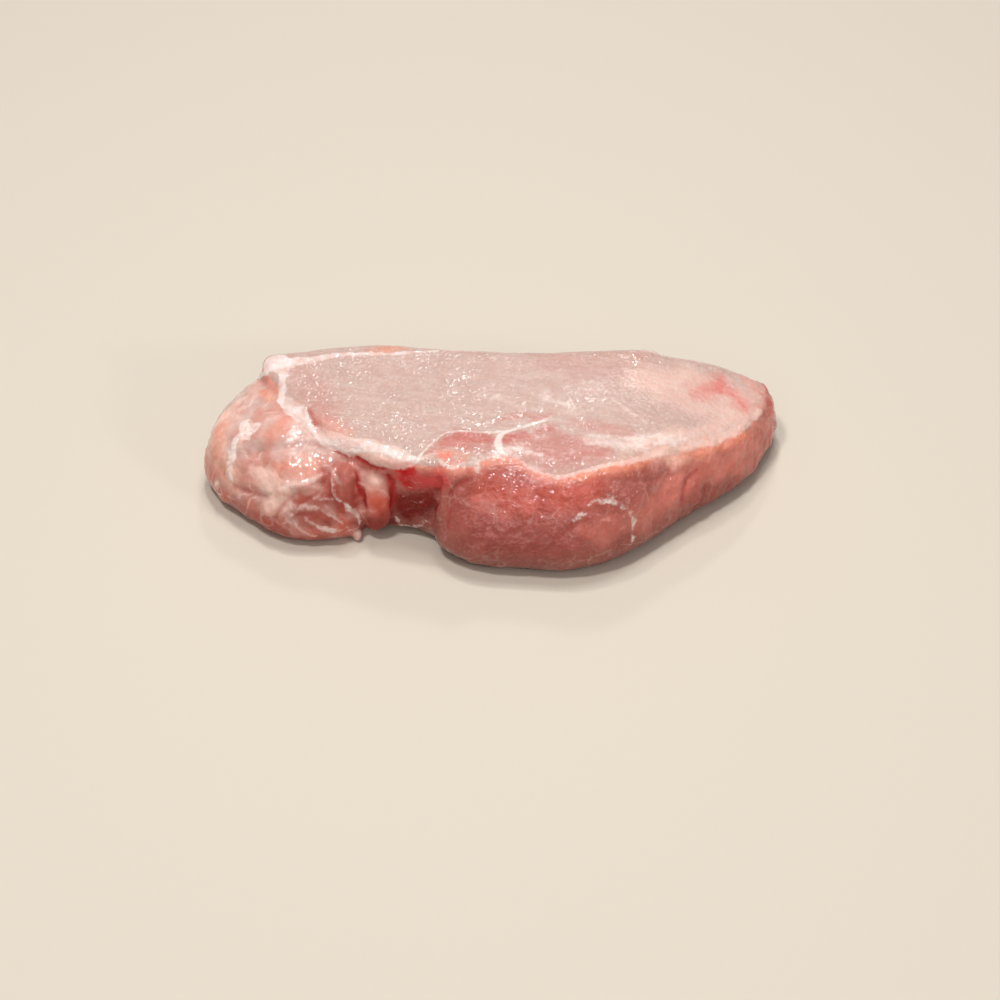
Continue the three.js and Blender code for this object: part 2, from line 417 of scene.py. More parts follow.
def lay(stations):
    """A line of x, y, z and half width, laid on the nearest skin in even short steps."""
    length = np.linalg.norm(np.diff(np.array(stations)[:, :3], axis=0), axis=1).max()
    curve = smooth_curve(stations, max(2, math.ceil(length / LINE_STEP)), closed=False)
    for point in curve:
        point[:3] = skin_tree.find_nearest(Vector(point[:3]))[0]
    return curve


def outside_line(line, spots):
    """How far each spot is outside a line's edge, negative on the line, at most LINE_REACH."""
    reach = LINE_REACH + line[:, 3].max()
    low, high = line[:, :3].min(axis=0) - reach, line[:, :3].max(axis=0) + reach
    close = np.all((spots > low) & (spots < high), axis=1)
    near = spots[close]
    nearest = np.full(len(near), LINE_REACH)
    for start, end in zip(line[:-1], line[1:]):
        along = end[:3] - start[:3]
        share = np.clip((near - start[:3]) @ along / max(along @ along, 1e-9), 0, 1)
        away = np.linalg.norm(near - start[:3] - share[:, None] * along, axis=1)
        nearest = np.minimum(nearest, away - start[3] - share * (end[3] - start[3]))
    found = np.full(len(spots), LINE_REACH)
    found[close] = nearest
    return found


def outside_lines(lines, spots):
    """The least distance outside any of the lines, for every spot."""
    return np.min([outside_line(lay(stations), spots) for stations in lines], axis=0)


# %% [markdown]
# Nothing in meat runs as smoothly as a drawn curve. Before they are measured, the skin's points
# are led astray by a little seeded noise, in a wide sway and a fine one, so every line and
# border that comes from them wanders and frays the way tissue does.

# %% Let the measured spots stray
LUMP_SHIFT = np.array([31, 7, 13])


def lumps(spots, size, octaves=2):
    """Smooth random heights, about -1 to 1, with lumps about size mm across."""
    return np.array([noise.fractal(spot, 1, 2, octaves) for spot in (spots / size).tolist()])


def stray(spots, sway, size):
    """The spots moved by up to about sway mm, each way by its own noise."""
    ways = [lumps(spots + turn * LUMP_SHIFT, size) for turn in (1, 2, 3)]
    return spots + sway * np.stack(ways, axis=1)


seam_spots = stray(stray(skin, 0.7, 6), 0.35, 1.8)
patch_spots = stray(stray(skin, 2.2, 8), 1.2, 2.6)
print("spots stray by up to", np.linalg.norm(patch_spots - skin, axis=1).max().round(2), "mm")


# %% [markdown]
# ## Fat
# Seams of fat part the muscles. The main ones run through the whole thickness, so they show on
# both cut faces: they are measured level, without z, and held off the walls. The others are
# lines and rims on the skin alone. Strips of fat laid on the meat would float or sink, and a
# painted picture would blur along the edges, so fat stays a measure of the skin.

# %% Seams that go through the chop
THROUGH_SEAMS = [
    # The white corner, the band along the back, and the seam that parts the eye from the flap.
    [(-69.5, 23.7, 30, 1.5), (-67.3, 23.5, 31, 3.2), (-65.1, 23.7, 31, 3.2), (-62.7, 25.2, 31, 2)],
    [(-62.7, 25.2, 31, 2), (-58.6, 25.5, 31, 1.8), (-54.6, 26.2, 31, 1.5), (-50.9, 27.7, 31, 1.2),
     (-46.2, 28.5, 31, 0.9), (-39.9, 28.9, 31, 0.7), (-33.6, 28.9, 31, 0.6), (-25.8, 29.5, 31, 0.5),
     (-17.6, 30.8, 30.5, 0.4)],
    [(-65.2, 20, 31, 1.6), (-65.2, 17, 30.4, 1.1), (-65.2, 13.9, 30, 1), (-64.8, 10.6, 29, 1.2)],
    [(-64.7, 8.4, 29, 1.8), (-62.3, 5.1, 30, 2.6), (-60, 2.7, 30, 2.8), (-58, -0.2, 30, 2),
     (-56, -3.4, 29, 1.1), (-53.8, -6.6, 29, 0.9), (-50.6, -9.7, 28, 0.9)],
    # The thick band at the end of the eye.
    [(-50.3, -9.3, 28, 0.5), (-47.5, -10.2, 29, 0.8), (-44.4, -11.6, 29, 1), (-40.9, -13, 30, 1.1),
     (-37.2, -14.6, 30, 1.2), (-33.5, -16, 30, 1.5), (-30.1, -17.6, 30, 1.6), (-27.1, -19.2, 30, 1.2),
     (-24.4, -20.6, 30, 0.6), (-22.2, -21, 30, 0.3)],
]
THROUGH_WALL_FADE = 6.0

# The fine seam and the crescent of film round the small oval muscle.
FINE_SEAMS = [
    [(-22.2, -21, 30, 0.5), (-19.5, -16, 31, 0.25), (-14.8, -10.1, 31, 0.25), (-12.1, -8.7, 31, 0.3),
     (-7.5, -8.3, 31, 0.3), (-3, -8.6, 31, 0.3), (0.1, -8.6, 31, 0.35), (3.4, -7.9, 31, 0.4)],
    [(24, -2.9, 31, 0), (19.7, -2.8, 31, 0.2), (16.3, -3.3, 31, 0.4), (13.2, -4.3, 31, 0.55),
     (9.8, -5.9, 31, 0.35), (6.5, -7.6, 31, 0.5), (3.7, -9.1, 31, 0.7), (2.2, -11.6, 31, 1),
     (1.9, -14.6, 31, 1.1), (2.5, -17.3, 31, 0.8), (4.3, -19.1, 31, 0.4), (6.4, -19.7, 31, 0.1)],
]
facing = np.abs(plain_normals[:, 2])


def through_lines(lines, spots):
    """The least distance outside lines that run through the chop, held off the walls."""
    level = np.array([1, 1, 0])
    flat = [lay(stations) * np.array([1, 1, 0, 1]) for stations in lines]
    away = np.min([outside_line(line, spots * level) for line in flat], axis=0)
    return away + THROUGH_WALL_FADE * soft_step(-facing, -0.6, -0.2)


through = through_lines(THROUGH_SEAMS, seam_spots)
seam = through_lines(FINE_SEAMS, stray(skin, 0.35, 5))
print("points on through seams:", int((np.minimum(through, seam) < 0).sum()))

# %% Thick bits of fat on the skin
SKIN_FAT = [
    # The white corner, over its edge.
    [(-71.5, 23, 26, 1), (-70.1, 21.8, 29.7, 1.4), (-69, 25.5, 30.5, 2.6), (-65.8, 25.3, 30.9, 3),
     (-63.2, 24, 31, 1.8)],
    # The seam's lower end and the thick band, over the edge of the eye.
    [(-55.6, -4, 29, 0.8), (-53.8, -6.4, 29, 1), (-51.5, -8.8, 28.5, 1.1), (-49.6, -10.2, 28, 0.8)],
    [(-53, -7.6, 28, 0.8), (-51.2, -9.3, 27.7, 1.4), (-48, -10.9, 27.8, 1.8), (-44.8, -12.1, 28, 1.6),
     (-41.1, -13.4, 28.2, 1.4), (-37, -14.9, 28.8, 1.5), (-32.3, -16.6, 29.2, 1.5),
     (-27.6, -18.6, 29.5, 1.3), (-23.5, -20.3, 29.8, 0.7)],
    # The bit below the stain at the notch.
    [(-15.6, -21.7, 30, 0.4), (-13.8, -23, 30, 0.7), (-11.6, -24.2, 30, 0.8), (-9.5, -23.7, 31, 0.5),
     (-7.7, -22.7, 31, 0.3)],
    # The corner of the shoulder.
    [(-4.7, -25.2, 29.5, 0.4), (-4.7, -23.8, 30, 0.6), (-3.8, -22.2, 31, 0.4)],
    # The white knot at the right of the front rim.
    [(50.2, -13, 29.5, 0.4), (52.6, -11.7, 29.1, 1.2), (55, -10.2, 28.5, 1.5), (57, -9, 28, 0.6)],
    # The back rim.
    [(-36, 34.5, 29, 0.5), (-32, 35, 29, 0.8), (-28, 34.6, 29, 0.5)],
    [(43.4, 30.1, 31, 0.2), (46.6, 31, 30, 0.4), (50.4, 31.4, 30, 0.5), (52.9, 30.6, 29, 0.5),
     (54.7, 28.5, 29.5, 0.3)],
    [(62.2, 30.7, 27, 0.3), (65.7, 30.5, 26, 0.4), (69.1, 28.7, 25, 0.3)],
    # The end of the fold beside the first groove, and a leaf of the front roll.
    [(-46.7, -23.7, 17.7, 0.3), (-45.2, -24.2, 16.6, 0.6), (-43.8, -24.4, 15, 0.7), (-42.4, -24, 12.1, 0.7),
     (-41, -23.3, 8.6, 0.7), (-40.7, -23, 6.3, 0.4)],
    [(-54.8, -26.7, 9.7, 0.2), (-52.1, -27.1, 8.4, 0.5), (-49.1, -26.7, 7.6, 0.5), (-46.4, -26, 6.5, 0.3)],
    # The foot of the web.
    [(-29.4, -21.5, 7.4, 0.2), (-28, -20.5, 4.4, 0.5), (-25.8, -20.9, 4.4, 0.9), (-23.9, -21.4, 4.3, 0.8),
     (-21.7, -23.2, 6.4, 0.4), (-19.8, -24.5, 8.9, 0.2)],
]
skin_fat = outside_lines(SKIN_FAT, seam_spots)
fat = np.minimum(through, skin_fat)
print("points in fat:", int((fat < 0).sum()))

# %% [markdown]
# Thinner strands and pale edges mark where a muscle's wrapping meets the air. They are fainter
# than fat, so they are a measure of their own.

# %% Pale strands on the cut face
TOP_STRANDS = [
    # The second strand beside the seam, and the tip of the band at the notch.
    [(-53.5, -4.6, 29, 0.7), (-51.9, -6, 29, 1), (-49.4, -8, 29, 1.2), (-46.9, -9.7, 30, 1),
     (-44.4, -11, 30, 1)],
    [(-24.4, -21.1, 30, 1), (-21.6, -20.7, 30, 0.7), (-19.2, -19.7, 31, 0.6), (-16.8, -19, 31, 0.5),
     (-14.4, -18.7, 31, 0.4)],
    # The thick band at the end of the eye, down to the crease.
    [(-50.3, -9.5, 28, 1), (-47.5, -10.8, 29, 2), (-44.4, -12.5, 29, 2.8), (-40.9, -14.4, 30, 3.2),
     (-37.2, -16, 30, 3.6), (-33.5, -17.6, 30, 4), (-30.1, -19, 30, 4), (-27.1, -20.1, 30, 3.2),
     (-24.4, -21, 30, 1.6), (-22.2, -21, 30, 0.8)],
    # The tendon, and the edge of the shoulder over the bulge.
    [(36.2, 8.1, 31, 0.2), (39.8, 3.8, 31, 0.35), (41.9, 1.4, 31, 0.4), (43.9, -0.9, 31, 0.4),
     (46.3, -3.2, 31, 0.3), (47.8, -4.5, 31, 0.2)],
    [(-3.8, -22.2, 31, 0.4), (-1.4, -20.9, 31, 0.4), (1.3, -19.9, 31, 0.4), (4, -19.4, 31, 0.5)],
    # The eye's front rim.
    [(8, -20.6, 31, 0.3), (11.3, -23.5, 29.2, 0.5), (16.1, -25.4, 28.5, 0.6), (20.9, -27.1, 28.7, 0.8),
     (29, -25.2, 30.3, 0.9), (35.6, -23.7, 30.6, 0.9), (42.7, -20.8, 30, 1), (50.8, -15.5, 28.6, 1.2),
     (60.3, -10.3, 26.1, 0.9), (69.9, -3.6, 23.6, 1.2), (79, 6.8, 20.8, 1.1), (84, 15, 19.1, 0.7)],
    # The film that runs down from the white knot at the right of the front rim.
    [(55.6, -13.2, 27, 0.3), (55.9, -15.2, 24.5, 0.1), (55.8, -17, 21.5, -0.1)],
    # The back rim.
    [(-17.2, 32.3, 30, 0.5), (-13.2, 31.8, 30, 0.8), (-8.5, 31.2, 30, 0.7), (-3.8, 30.6, 30, 0.4)],
]
print(len(TOP_STRANDS), "strands on the cut face and its rims")

# %% Pale edges of the flap's folds
FLAP_STRANDS = [
    # The flap's rim, and the ridge over its rolls.
    [(-76.4, 14.5, 25.6, 0.4), (-79.2, 13.7, 24.3, 0.7), (-81.1, 12.5, 23.2, 0.8), (-83.3, 11.6, 21.6, 0.6),
     (-85.4, 8.8, 19.9, 0.6), (-86.6, 6.4, 18.6, 0.4)],
    [(-64.3, -20.1, 17.7, 0.6), (-61.5, -20.4, 18.8, 0.7), (-59, -20.5, 19.6, 0.8),
     (-56.5, -20.1, 20.5, 0.7), (-54.4, -19.6, 21.3, 0.7), (-51.9, -19.2, 21.8, 0.4)],
    # The fold beside the first groove.
    [(-47.7, -17.9, 23.9, 0.3), (-48.3, -19.3, 22.6, 0.35), (-48.2, -21.1, 21, 0.35),
     (-47.6, -22.8, 19.2, 0.35), (-46.7, -23.7, 17.7, 0.4)],
    [(-54.4, -23.2, 16.7, 0.2), (-51.4, -23.3, 16.8, 0.25), (-48.3, -23.6, 17.1, 0.25)],
    # The leaves of the front roll.
    [(-61.2, -25.2, 11.6, 0.3), (-59.4, -24.7, 13.2, 0.5), (-57.2, -24.4, 14.2, 0.7),
     (-54.7, -24.5, 14.4, 0.7), (-52.3, -24.9, 13.8, 0.5), (-49.6, -25.4, 12.6, 0.35),
     (-46.9, -25.7, 10.9, 0.35), (-44.6, -25.4, 8.1, 0.35), (-43.8, -24.8, 5.4, 0.3)],
    [(-59.7, -26.1, 10.3, 0.3), (-58.9, -26.8, 8.6, 0.35), (-57.4, -27.1, 7.1, 0.4),
     (-55.3, -27.2, 5.9, 0.4), (-53.2, -27, 5.4, 0.3)],
    [(-56.9, -25.8, 11.7, 0.3), (-54.8, -26.7, 9.7, 0.5), (-52.1, -27.1, 8.4, 0.8), (-49.1, -26.7, 7.6, 0.8),
     (-46.4, -26, 6.5, 0.4)],
]
print(len(FLAP_STRANDS), "edges of folds on the flap")

# %% Pale strands at the notch and on the walls
WALL_STRANDS = [
    # The arc across the knuckle.
    [(-39.8, -20.2, 20.2, 0.2), (-38.3, -21.1, 19.6, 0.25), (-36.4, -22.3, 20.1, 0.25),
     (-33.9, -22.7, 20, 0.25), (-32.2, -22.7, 18.3, 0.2), (-31, -22.6, 15.8, 0.1)],
    # Fine fibres across the web.
    [(-27.6, -22, 25.5, -0.2), (-24.6, -22.8, 23.8, 0), (-21.4, -23.6, 23.6, 0), (-18.2, -24.5, 25, -0.2)],
    [(-26.2, -22.3, 21.6, -0.2), (-23.4, -23, 21.4, 0), (-20.4, -23.8, 22.2, -0.1)],
    [(-27.4, -21.8, 16.3, -0.1), (-24.2, -22.7, 18.8, -0.1), (-21.2, -23.7, 19.7, -0.1),
     (-19, -24.5, 21.6, -0.1)],
    [(-27.7, -21.7, 12.9, -0.1), (-24.9, -22.3, 14.7, -0.1), (-22.2, -23.3, 15.2, -0.1),
     (-19.4, -24.6, 17.6, -0.1)],
    [(-27.2, -21.6, 10, -0.1), (-24.4, -22.4, 11.9, -0.1), (-21.9, -23.4, 12, -0.1),
     (-19.7, -24.5, 14.3, -0.1)],
    # Down the back wall, where the seams come out, and along it.
    [(-58, 36, 26, 0.4), (-57.5, 36.5, 18, 0.6), (-59, 36.5, 10, 0.5), (-60, 33, 3, 0.2)],
    [(57, 38, 24, 0.3), (56.5, 38, 16, 0.5), (57.5, 37.5, 8, 0.4), (57, 35, 3, 0.2)],
    [(-20, 38.5, 22, 0.1), (0, 38.3, 17, 0.4), (22, 38, 15, 0.4), (44, 39, 18, 0.1)],
    # The foot of the bulge.
    [(-17.5, -31, 2, 0.3), (-15, -33.5, 1.5, 0.4), (-11, -35.5, 1, 0.4), (-6, -36.5, 1, 0.3)],
]
print(len(WALL_STRANDS), "strands at the notch and on the walls")

# %% Measure from the strands and the rags
RAG_FRINGE = 0.3
STRANDS = TOP_STRANDS + FLAP_STRANDS + WALL_STRANDS

rags = np.min([roll_depth(skin, *rag[:3]) - RAG_FRINGE for rag in RAGS], axis=0)
strand = np.minimum(outside_lines(STRANDS, seam_spots), rags)
print("points in strands:", int((strand < 0).sum()))

# %% [markdown]
# ## Veils
# Where fat is thin, or a film of connective tissue lies over the muscle, the meat looks milky.
# These places have soft borders, so they are kept apart from the crisp fat.

# %% Milky veils
VEILS = [
    # Down the flank of the flap.
    [(-75.8, 0.7, 25.6, 2.5), (-74.5, -1.4, 25.7, 3), (-75.7, -3.2, 24.4, 2.2), (-77.9, -4, 22.6, 1.8),
     (-79.4, -5.6, 20.4, 1.8), (-81, -7.1, 17.6, 1.6), (-81.4, -8.8, 15, 1.5), (-80.1, -11, 13.3, 1)],
    [(-63.2, -8.2, 27.1, 0.6), (-59.5, -8.3, 27.6, 0.8), (-55.6, -7.8, 28, 0.5)],
    # The head of the knuckle.
    [(-37.9, -19.6, 22.1, 0.4), (-36.1, -21.1, 21.8, 0.4), (-35.1, -22.2, 21.5, 0.2)],
    # Inside the crescent, and along the eye's front rim.
    [(4, -18.1, 31, 1.5), (7.1, -17.4, 31, 1.5), (10.7, -17.5, 31, 1.2), (13.4, -18.8, 30, 0.6)],
    [(30.2, -10.1, 31, 0.8), (36.6, -10.8, 31, 0.8), (43.6, -11.3, 31, 1), (49.7, -9.8, 30.5, 1.5)],
    [(26.8, -12.6, 31, 0.8), (32.9, -13.6, 31, 0.8), (38.9, -14.1, 31, 1), (45, -14.3, 31, 1.4)],
    [(49.6, -12.6, 29.7, 0.5), (52.6, -11, 29.3, 1.1), (55.2, -9.4, 28.7, 1.3), (58.2, -7.6, 28.1, 0.6)],
    # The torn membrane on the bulge's wall.
    [(24.4, -37.8, 18.6, 0.2), (25.9, -36.6, 20.3, 0.6), (28, -35.1, 22.2, 0.7), (29.8, -33.5, 24.1, 0.6),
     (31.9, -32.6, 24.8, 0.7), (34.4, -32, 24.7, 0.9), (36.8, -31.7, 23.6, 1), (38.9, -31.7, 21.6, 0.7),
     (40.5, -31.9, 19.7, 0.5)],
    [(41.8, -31.6, 18.6, 0.3), (43, -31.9, 16, 0.5), (43.7, -32.6, 12.6, 0.5), (44.1, -32.9, 8.3, 0.3)],
    # Film on the back wall.
    [(-45, 38.5, 14, 0.6), (-30, 39, 12, 1.4), (-12, 38.5, 13, 0.9), (0, 38, 15, 0.4)],
    [(62, 38, 10, 0.5), (70, 38.5, 9, 1), (78, 38, 10, 0.7)],
    # Two short, faint strands in the open cut face.
    [(0, 7.2, 31, 0.5), (1.9, 8.1, 31, 0.7), (3.4, 8.6, 31, 0.4)],
    [(16.1, 9.6, 31, 0.4), (17.7, 7.2, 31, 0.5), (22.9, 4.8, 31, 0.5), (26.2, 2.4, 31, 0.4)],
]
veil = outside_lines(VEILS, patch_spots)
print("points under a veil:", int((veil < 0).sum()))

# %% [markdown]
# ## Creases and ridges
# Folds and gaps between muscles are lines too, but they are pressed into the skin, and the edge
# of a fold stands out from it. Each line carries its depth, negative for a ridge, how softly it
# runs out, and how strongly painted shade darkens its bottom. Sculpting would press them in by
# hand, but a number is easier to change than a stroke.

# %% Creases of the eye and the notch
# Each line is its depth, softness and the strength of its painted shade, and stations.
EYE_CREASES = [
    # Under the thick band, and along the end of the eye.
    (0.5, 0.8, 0.9, [(-49.5, -11.5, 27, 0.1), (-47.8, -12.5, 27, 0.2), (-44.7, -13.8, 27, 0.2),
     (-41.9, -15.4, 27, 0.2), (-39.4, -16.9, 26.6, 0.2), (-36.3, -18.6, 26, 0.2), (-32.9, -20.1, 26, 0.2)]),
    (0.3, 0.8, 0.6, [(-56.2, 2.9, 30, 0.1), (-55, -1, 30, 0.2), (-53.2, -4.8, 29, 0.2),
     (-51.2, -7.4, 28, 0.1)]),
    # The grooves each side of the knuckle, and the gap where the bulge begins.
    (0.5, 0.8, 0.9, [(-41.2, -18.8, 23.1, 0.2), (-40.2, -20.2, 20.2, 0.4), (-39.5, -21.9, 16.8, 0.4),
     (-39.2, -23.2, 13.1, 0.2)]),
    (0.5, 0.8, 0.9, [(-31.5, -20.8, 24, 0.2), (-30.4, -21.7, 20.7, 0.4), (-29.9, -22, 16.5, 0.4),
     (-30, -22.3, 12.2, 0.2)]),
    (1.1, 0.9, 0.2, [(-15.6, -25.9, 26.5, 0.2), (-16.6, -26.8, 20.4, 0.4), (-18.2, -26.3, 13.4, 0.4),
     (-18.9, -25.6, 8.6, 0.2)]),
    (0.6, 0.8, 0.5, [(-7.7, -27.3, 28.1, 0.1), (-10.1, -28.7, 26.5, 0.2), (-12.2, -29.2, 24.2, 0.2)]),
    (0.3, 0.8, 0.3, [(-12.3, -31.3, 19.6, 0.1), (-13.2, -33.2, 14.4, 0.2), (-14.1, -33.7, 11.2, 0.1)]),
    # The dent in the wall beside the bulge.
    (0.9, 1.8, 0.4, [(63.2, -12.6, 18.8, 0.1), (60.7, -15.3, 17.5, 0.2), (58.8, -17.8, 15.2, 0.2),
     (58, -19.9, 11.3, 0.1)]),
    (0.7, 1.5, 0.35, [(66, -11.5, 12, 0.1), (64, -13.8, 8.5, 0.2), (62.5, -15, 5, 0.1)]),
    (0.3, 0.8, 0.2, [(20.5, -39.8, 15.5, 0.1), (22.9, -38.5, 17.6, 0.2), (25.3, -37.3, 19.3, 0.1)]),
]
print(len(EYE_CREASES), "creases of the eye and the notch")

# %% Creases of the flap, and the ridges
FLAP_CREASES = [
    # The fold across the top of the flap, and its two ends.
    (0.7, 1.5, 0.15, [(-78.1, -7.2, 20.1, 0.1), (-73.6, -8.3, 22.3, 0.1), (-69.1, -9.4, 24.1, 0.1),
     (-63.2, -10, 26.2, 0.1), (-58.5, -10.3, 27, 0.1)]),
    (0.4, 1.0, 0.2, [(-56.7, -9.4, 27.4, 0.1), (-53.7, -10.5, 27.1, 0.1), (-50.9, -11.9, 26.7, 0.1)]),
    # The gaps under the flap's pads.
    (0.7, 1.2, 0.4, [(-58.4, -21.7, 18.3, 0.1), (-62.1, -22.4, 15.6, 0.2), (-64.7, -23.4, 12.4, 0.2),
     (-66, -24.6, 9.4, 0.1)]),
    (0.7, 1.2, 0.4, [(-79.8, -12, 12.1, 0.1), (-75.9, -15, 13.1, 0.2), (-72.3, -17.5, 13.7, 0.2),
     (-69.1, -19.5, 14.3, 0.1)]),
    # The ridges under the thick band, over the rolls, down the flank, and round the fold strip.
    (-1.0, 1.8, 0, [(-52.3, -9.6, 28, 0), (-49.5, -11, 27.5, 0.4), (-46.5, -12.6, 27, 0.3),
     (-43.5, -14, 27, 0)]),
    (-0.9, 1.6, 0, [(-64.3, -20.1, 17.7, 0), (-61.5, -20.4, 18.8, 0.2), (-59, -20.5, 19.6, 0.3),
     (-56.5, -20.1, 20.5, 0.3), (-54.4, -19.6, 21.3, 0.2), (-51.9, -19.2, 21.8, 0)]),
    (-0.6, 1.8, 0, [(-75.8, 1, 25.7, 0), (-77.6, -2.7, 23.6, 0.3), (-79.4, -5.6, 20.4, 0.3),
     (-81, -7.5, 17.1, 0.3), (-80.8, -10.2, 13.7, 0)]),
    (-0.6, 0.9, 0, [(-47.7, -17.9, 23.9, 0), (-48.3, -19.3, 22.6, 0.2), (-48.2, -21.1, 21, 0.2),
     (-47.6, -22.8, 19.2, 0.2), (-46.7, -23.7, 17.7, 0)]),
]
print(len(FLAP_CREASES), "creases of the flap and ridges")

# %% Measure from the creases
CREASES = EYE_CREASES + FLAP_CREASES

crease_gaps = [outside_line(lay(stations), skin) for *_, stations in CREASES]
print("points in creases:", int((np.min(crease_gaps, axis=0) < 0).sum()))

# %% [markdown]
# ## Relief
# The skin now moves in and out along its normals. Creases go in, fat swells a little, and seeded
# noise of several sizes makes the walls lumpy, most of all at the pointed end, the flap uneven,
# and the cut faces gently wavy. A Displace modifier could add the noise, but not the lines, so
# all of it is summed here.

# %% Tell the cut face, the walls and the flap apart
# The knife's edge round the eye's cut face, as x and y.
CUT_RIM = [
    (-4.7, -24), (-3.5, -22), (3.7, -19.9), (8, -20.8), (11.3, -23.5), (16.1, -25.6),
    (20.9, -27.3), (29, -25.4), (35.6, -23.9), (42.7, -21), (50.8, -15.7), (60.3, -10.5),
    (69.9, -3.8), (79, 6.6), (84, 15), (86.5, 23), (84, 31), (74, 34), (62, 34), (48, 35),
    (15, 34), (-15, 35), (-38, 36.5), (-60, 34), (-70, 31), (-72, 24), (-66, 14), (-60, 3),
    (-50, -9.5), (-44, -13.5), (-36, -18), (-24, -22), (-15, -23.6), (-9, -24.6),
]
CUT_EDGE_SOFTNESS = 0.6
CUT_EDGE_SWAY, CUT_EDGE_SWAY_SIZE = 0.7, 3.5
FLAP_LEVEL = 24
FLAP_SIDE_FROM, FLAP_SIDE_TO = 22, 30

rim = smooth_curve(CUT_RIM, CURVE_STEPS)
on_cut = outline_distance(skin[:, 0], skin[:, 1], rim) + CUT_EDGE_SWAY * lumps(skin, CUT_EDGE_SWAY_SIZE)
cut_face = soft_step(-on_cut, -CUT_EDGE_SOFTNESS, CUT_EDGE_SOFTNESS) * soft_step(facing, 0.55, 0.75)
wall = 1 - cut_face
past_eye = outline_distance(skin[:, 0], skin[:, 1], outline_at(eye_girth, eye_top, FLAP_LEVEL))
flap_side = soft_step(past_eye, -0.5, 2.5) * soft_step(-skin[:, 0], FLAP_SIDE_FROM, FLAP_SIDE_TO)
flap_open = soft_step(plain_normals[:, 2], 0.0, 0.6)
rim_gap = outside_line(lay([(x, y, EYE_THICKNESS, 0) for x, y in CUT_RIM]), skin)
print("points on the cut face:", int((cut_face > 0.5).sum()))
print("points on the flap:", int((flap_side > 0.5).sum()))

# %% Sum the relief and move the skin
FAT_SWELL = 0.18
STRAND_SWELL = 0.09

# The height and size of each kind of lump.
WALL_LUMPS = (0.45, 9)
WALL_PIMPLES = (0.22, 3.2)
CUT_WAVES = (0.3, 16)
CUT_WAVES_SQUASHED = np.array([1, 1, 0.2])
FLAP_LUMPS = (0.3, 6)
FINE_LUMPS = (0.07, 2.2)
FLAP_FINE_SHARE = 0.06 / 0.07
POINTED_END_EXTRA = 1.1
POINTED_END_FROM, POINTED_END_TO = 48, 58
RESTING_RISE = 1.2


def rise(kind, spots):
    height, size = kind
    return height * lumps(spots, size)


relief = FAT_SWELL * soft_step(-np.minimum(through, skin_fat), -0.9, 0.3)
relief += STRAND_SWELL * soft_step(-strand, -0.7, 0.3)
for (depth, softness, _, _), gap in zip(CREASES, crease_gaps):
    relief -= depth * np.exp(-((np.maximum(gap, 0) / softness) ** 2))
knobbly = wall * (1 + POINTED_END_EXTRA * soft_step(skin[:, 0], POINTED_END_FROM, POINTED_END_TO))
relief += knobbly * (rise(WALL_LUMPS, skin) + rise(WALL_PIMPLES, skin + LUMP_SHIFT))
relief += cut_face * rise(CUT_WAVES, skin * CUT_WAVES_SQUASHED)
relief += (1 + FLAP_FINE_SHARE * flap_side) * rise(FINE_LUMPS, skin - LUMP_SHIFT)
relief += flap_side * rise(FLAP_LUMPS, skin + 2 * LUMP_SHIFT)
relief *= soft_step(skin[:, 2], 0.0, RESTING_RISE)

shaped = skin + plain_normals * relief[:, None]
shaped[:, 2] = np.maximum(shaped[:, 2], 0)
print("relief from", relief.min().round(2), "to", relief.max().round(2), "mm")

# %% [markdown]
# ## The mesh
# The dressed skin becomes one mesh. It is moved so that its box has the same middle as the plain
# chop's, and the measures go with it as attributes, one number for each point.

# %% Build the dressed chop
low, high = (np.array(corner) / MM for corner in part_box("chop"))
middle = (shaped.min(axis=0) + shaped.max(axis=0)) / 2
to_frame = np.array([*((low + high) / 2 - middle)[:2], low[2] - shaped[:, 2].min()])

mesh = bpy.data.meshes.new("pork")
mesh.from_pydata(((shaped + to_frame) * MM).tolist(), [], quads.tolist())
mesh.validate()
mesh.shade_smooth()
pork = bpy.data.objects.new("pork", mesh)
bpy.context.collection.objects.link(pork)


def keep_measure(name, values):
    """Keeps one number a point on the mesh, for the material to read."""
    mesh.attributes.new(name, "FLOAT", "POINT").data.foreach_set("value", values.astype(np.float32))


for name, values in {
    "fat": fat, "seam": seam, "strand": strand, "veil": veil, "cut": cut_face, "flap": flap_side,
}.items():
    keep_measure(name, values)
print("moved by", to_frame.round(2), "mm;", len(mesh.polygons), "faces")

# %% [markdown]
# ## Flesh colours
# Muscle isn't one pink: the open cut face is pale, the walls are deeper and more mauve, the flap
# is warmer, and blood and drying leave red and orange stains. These broad, soft changes are
# painted on the points, patch by patch, from a small palette. The patches are lines with half
# widths again, with borders a few millimetres soft, and each lies over the ones before it. A
# painted picture could hold them too, but it would need the skin unwrapped, and the points are
# close enough together for changes as soft as these.

# %% The palette
def paint(red, green, blue):
    """A colour as seen on a screen, 0 to 255, turned into Blender's linear colour."""
    shares = [value / 255 for value in (red, green, blue)]
    return np.array([s / 12.92 if s <= 0.04045 else ((s + 0.055) / 1.055) ** 2.4 for s in shares])


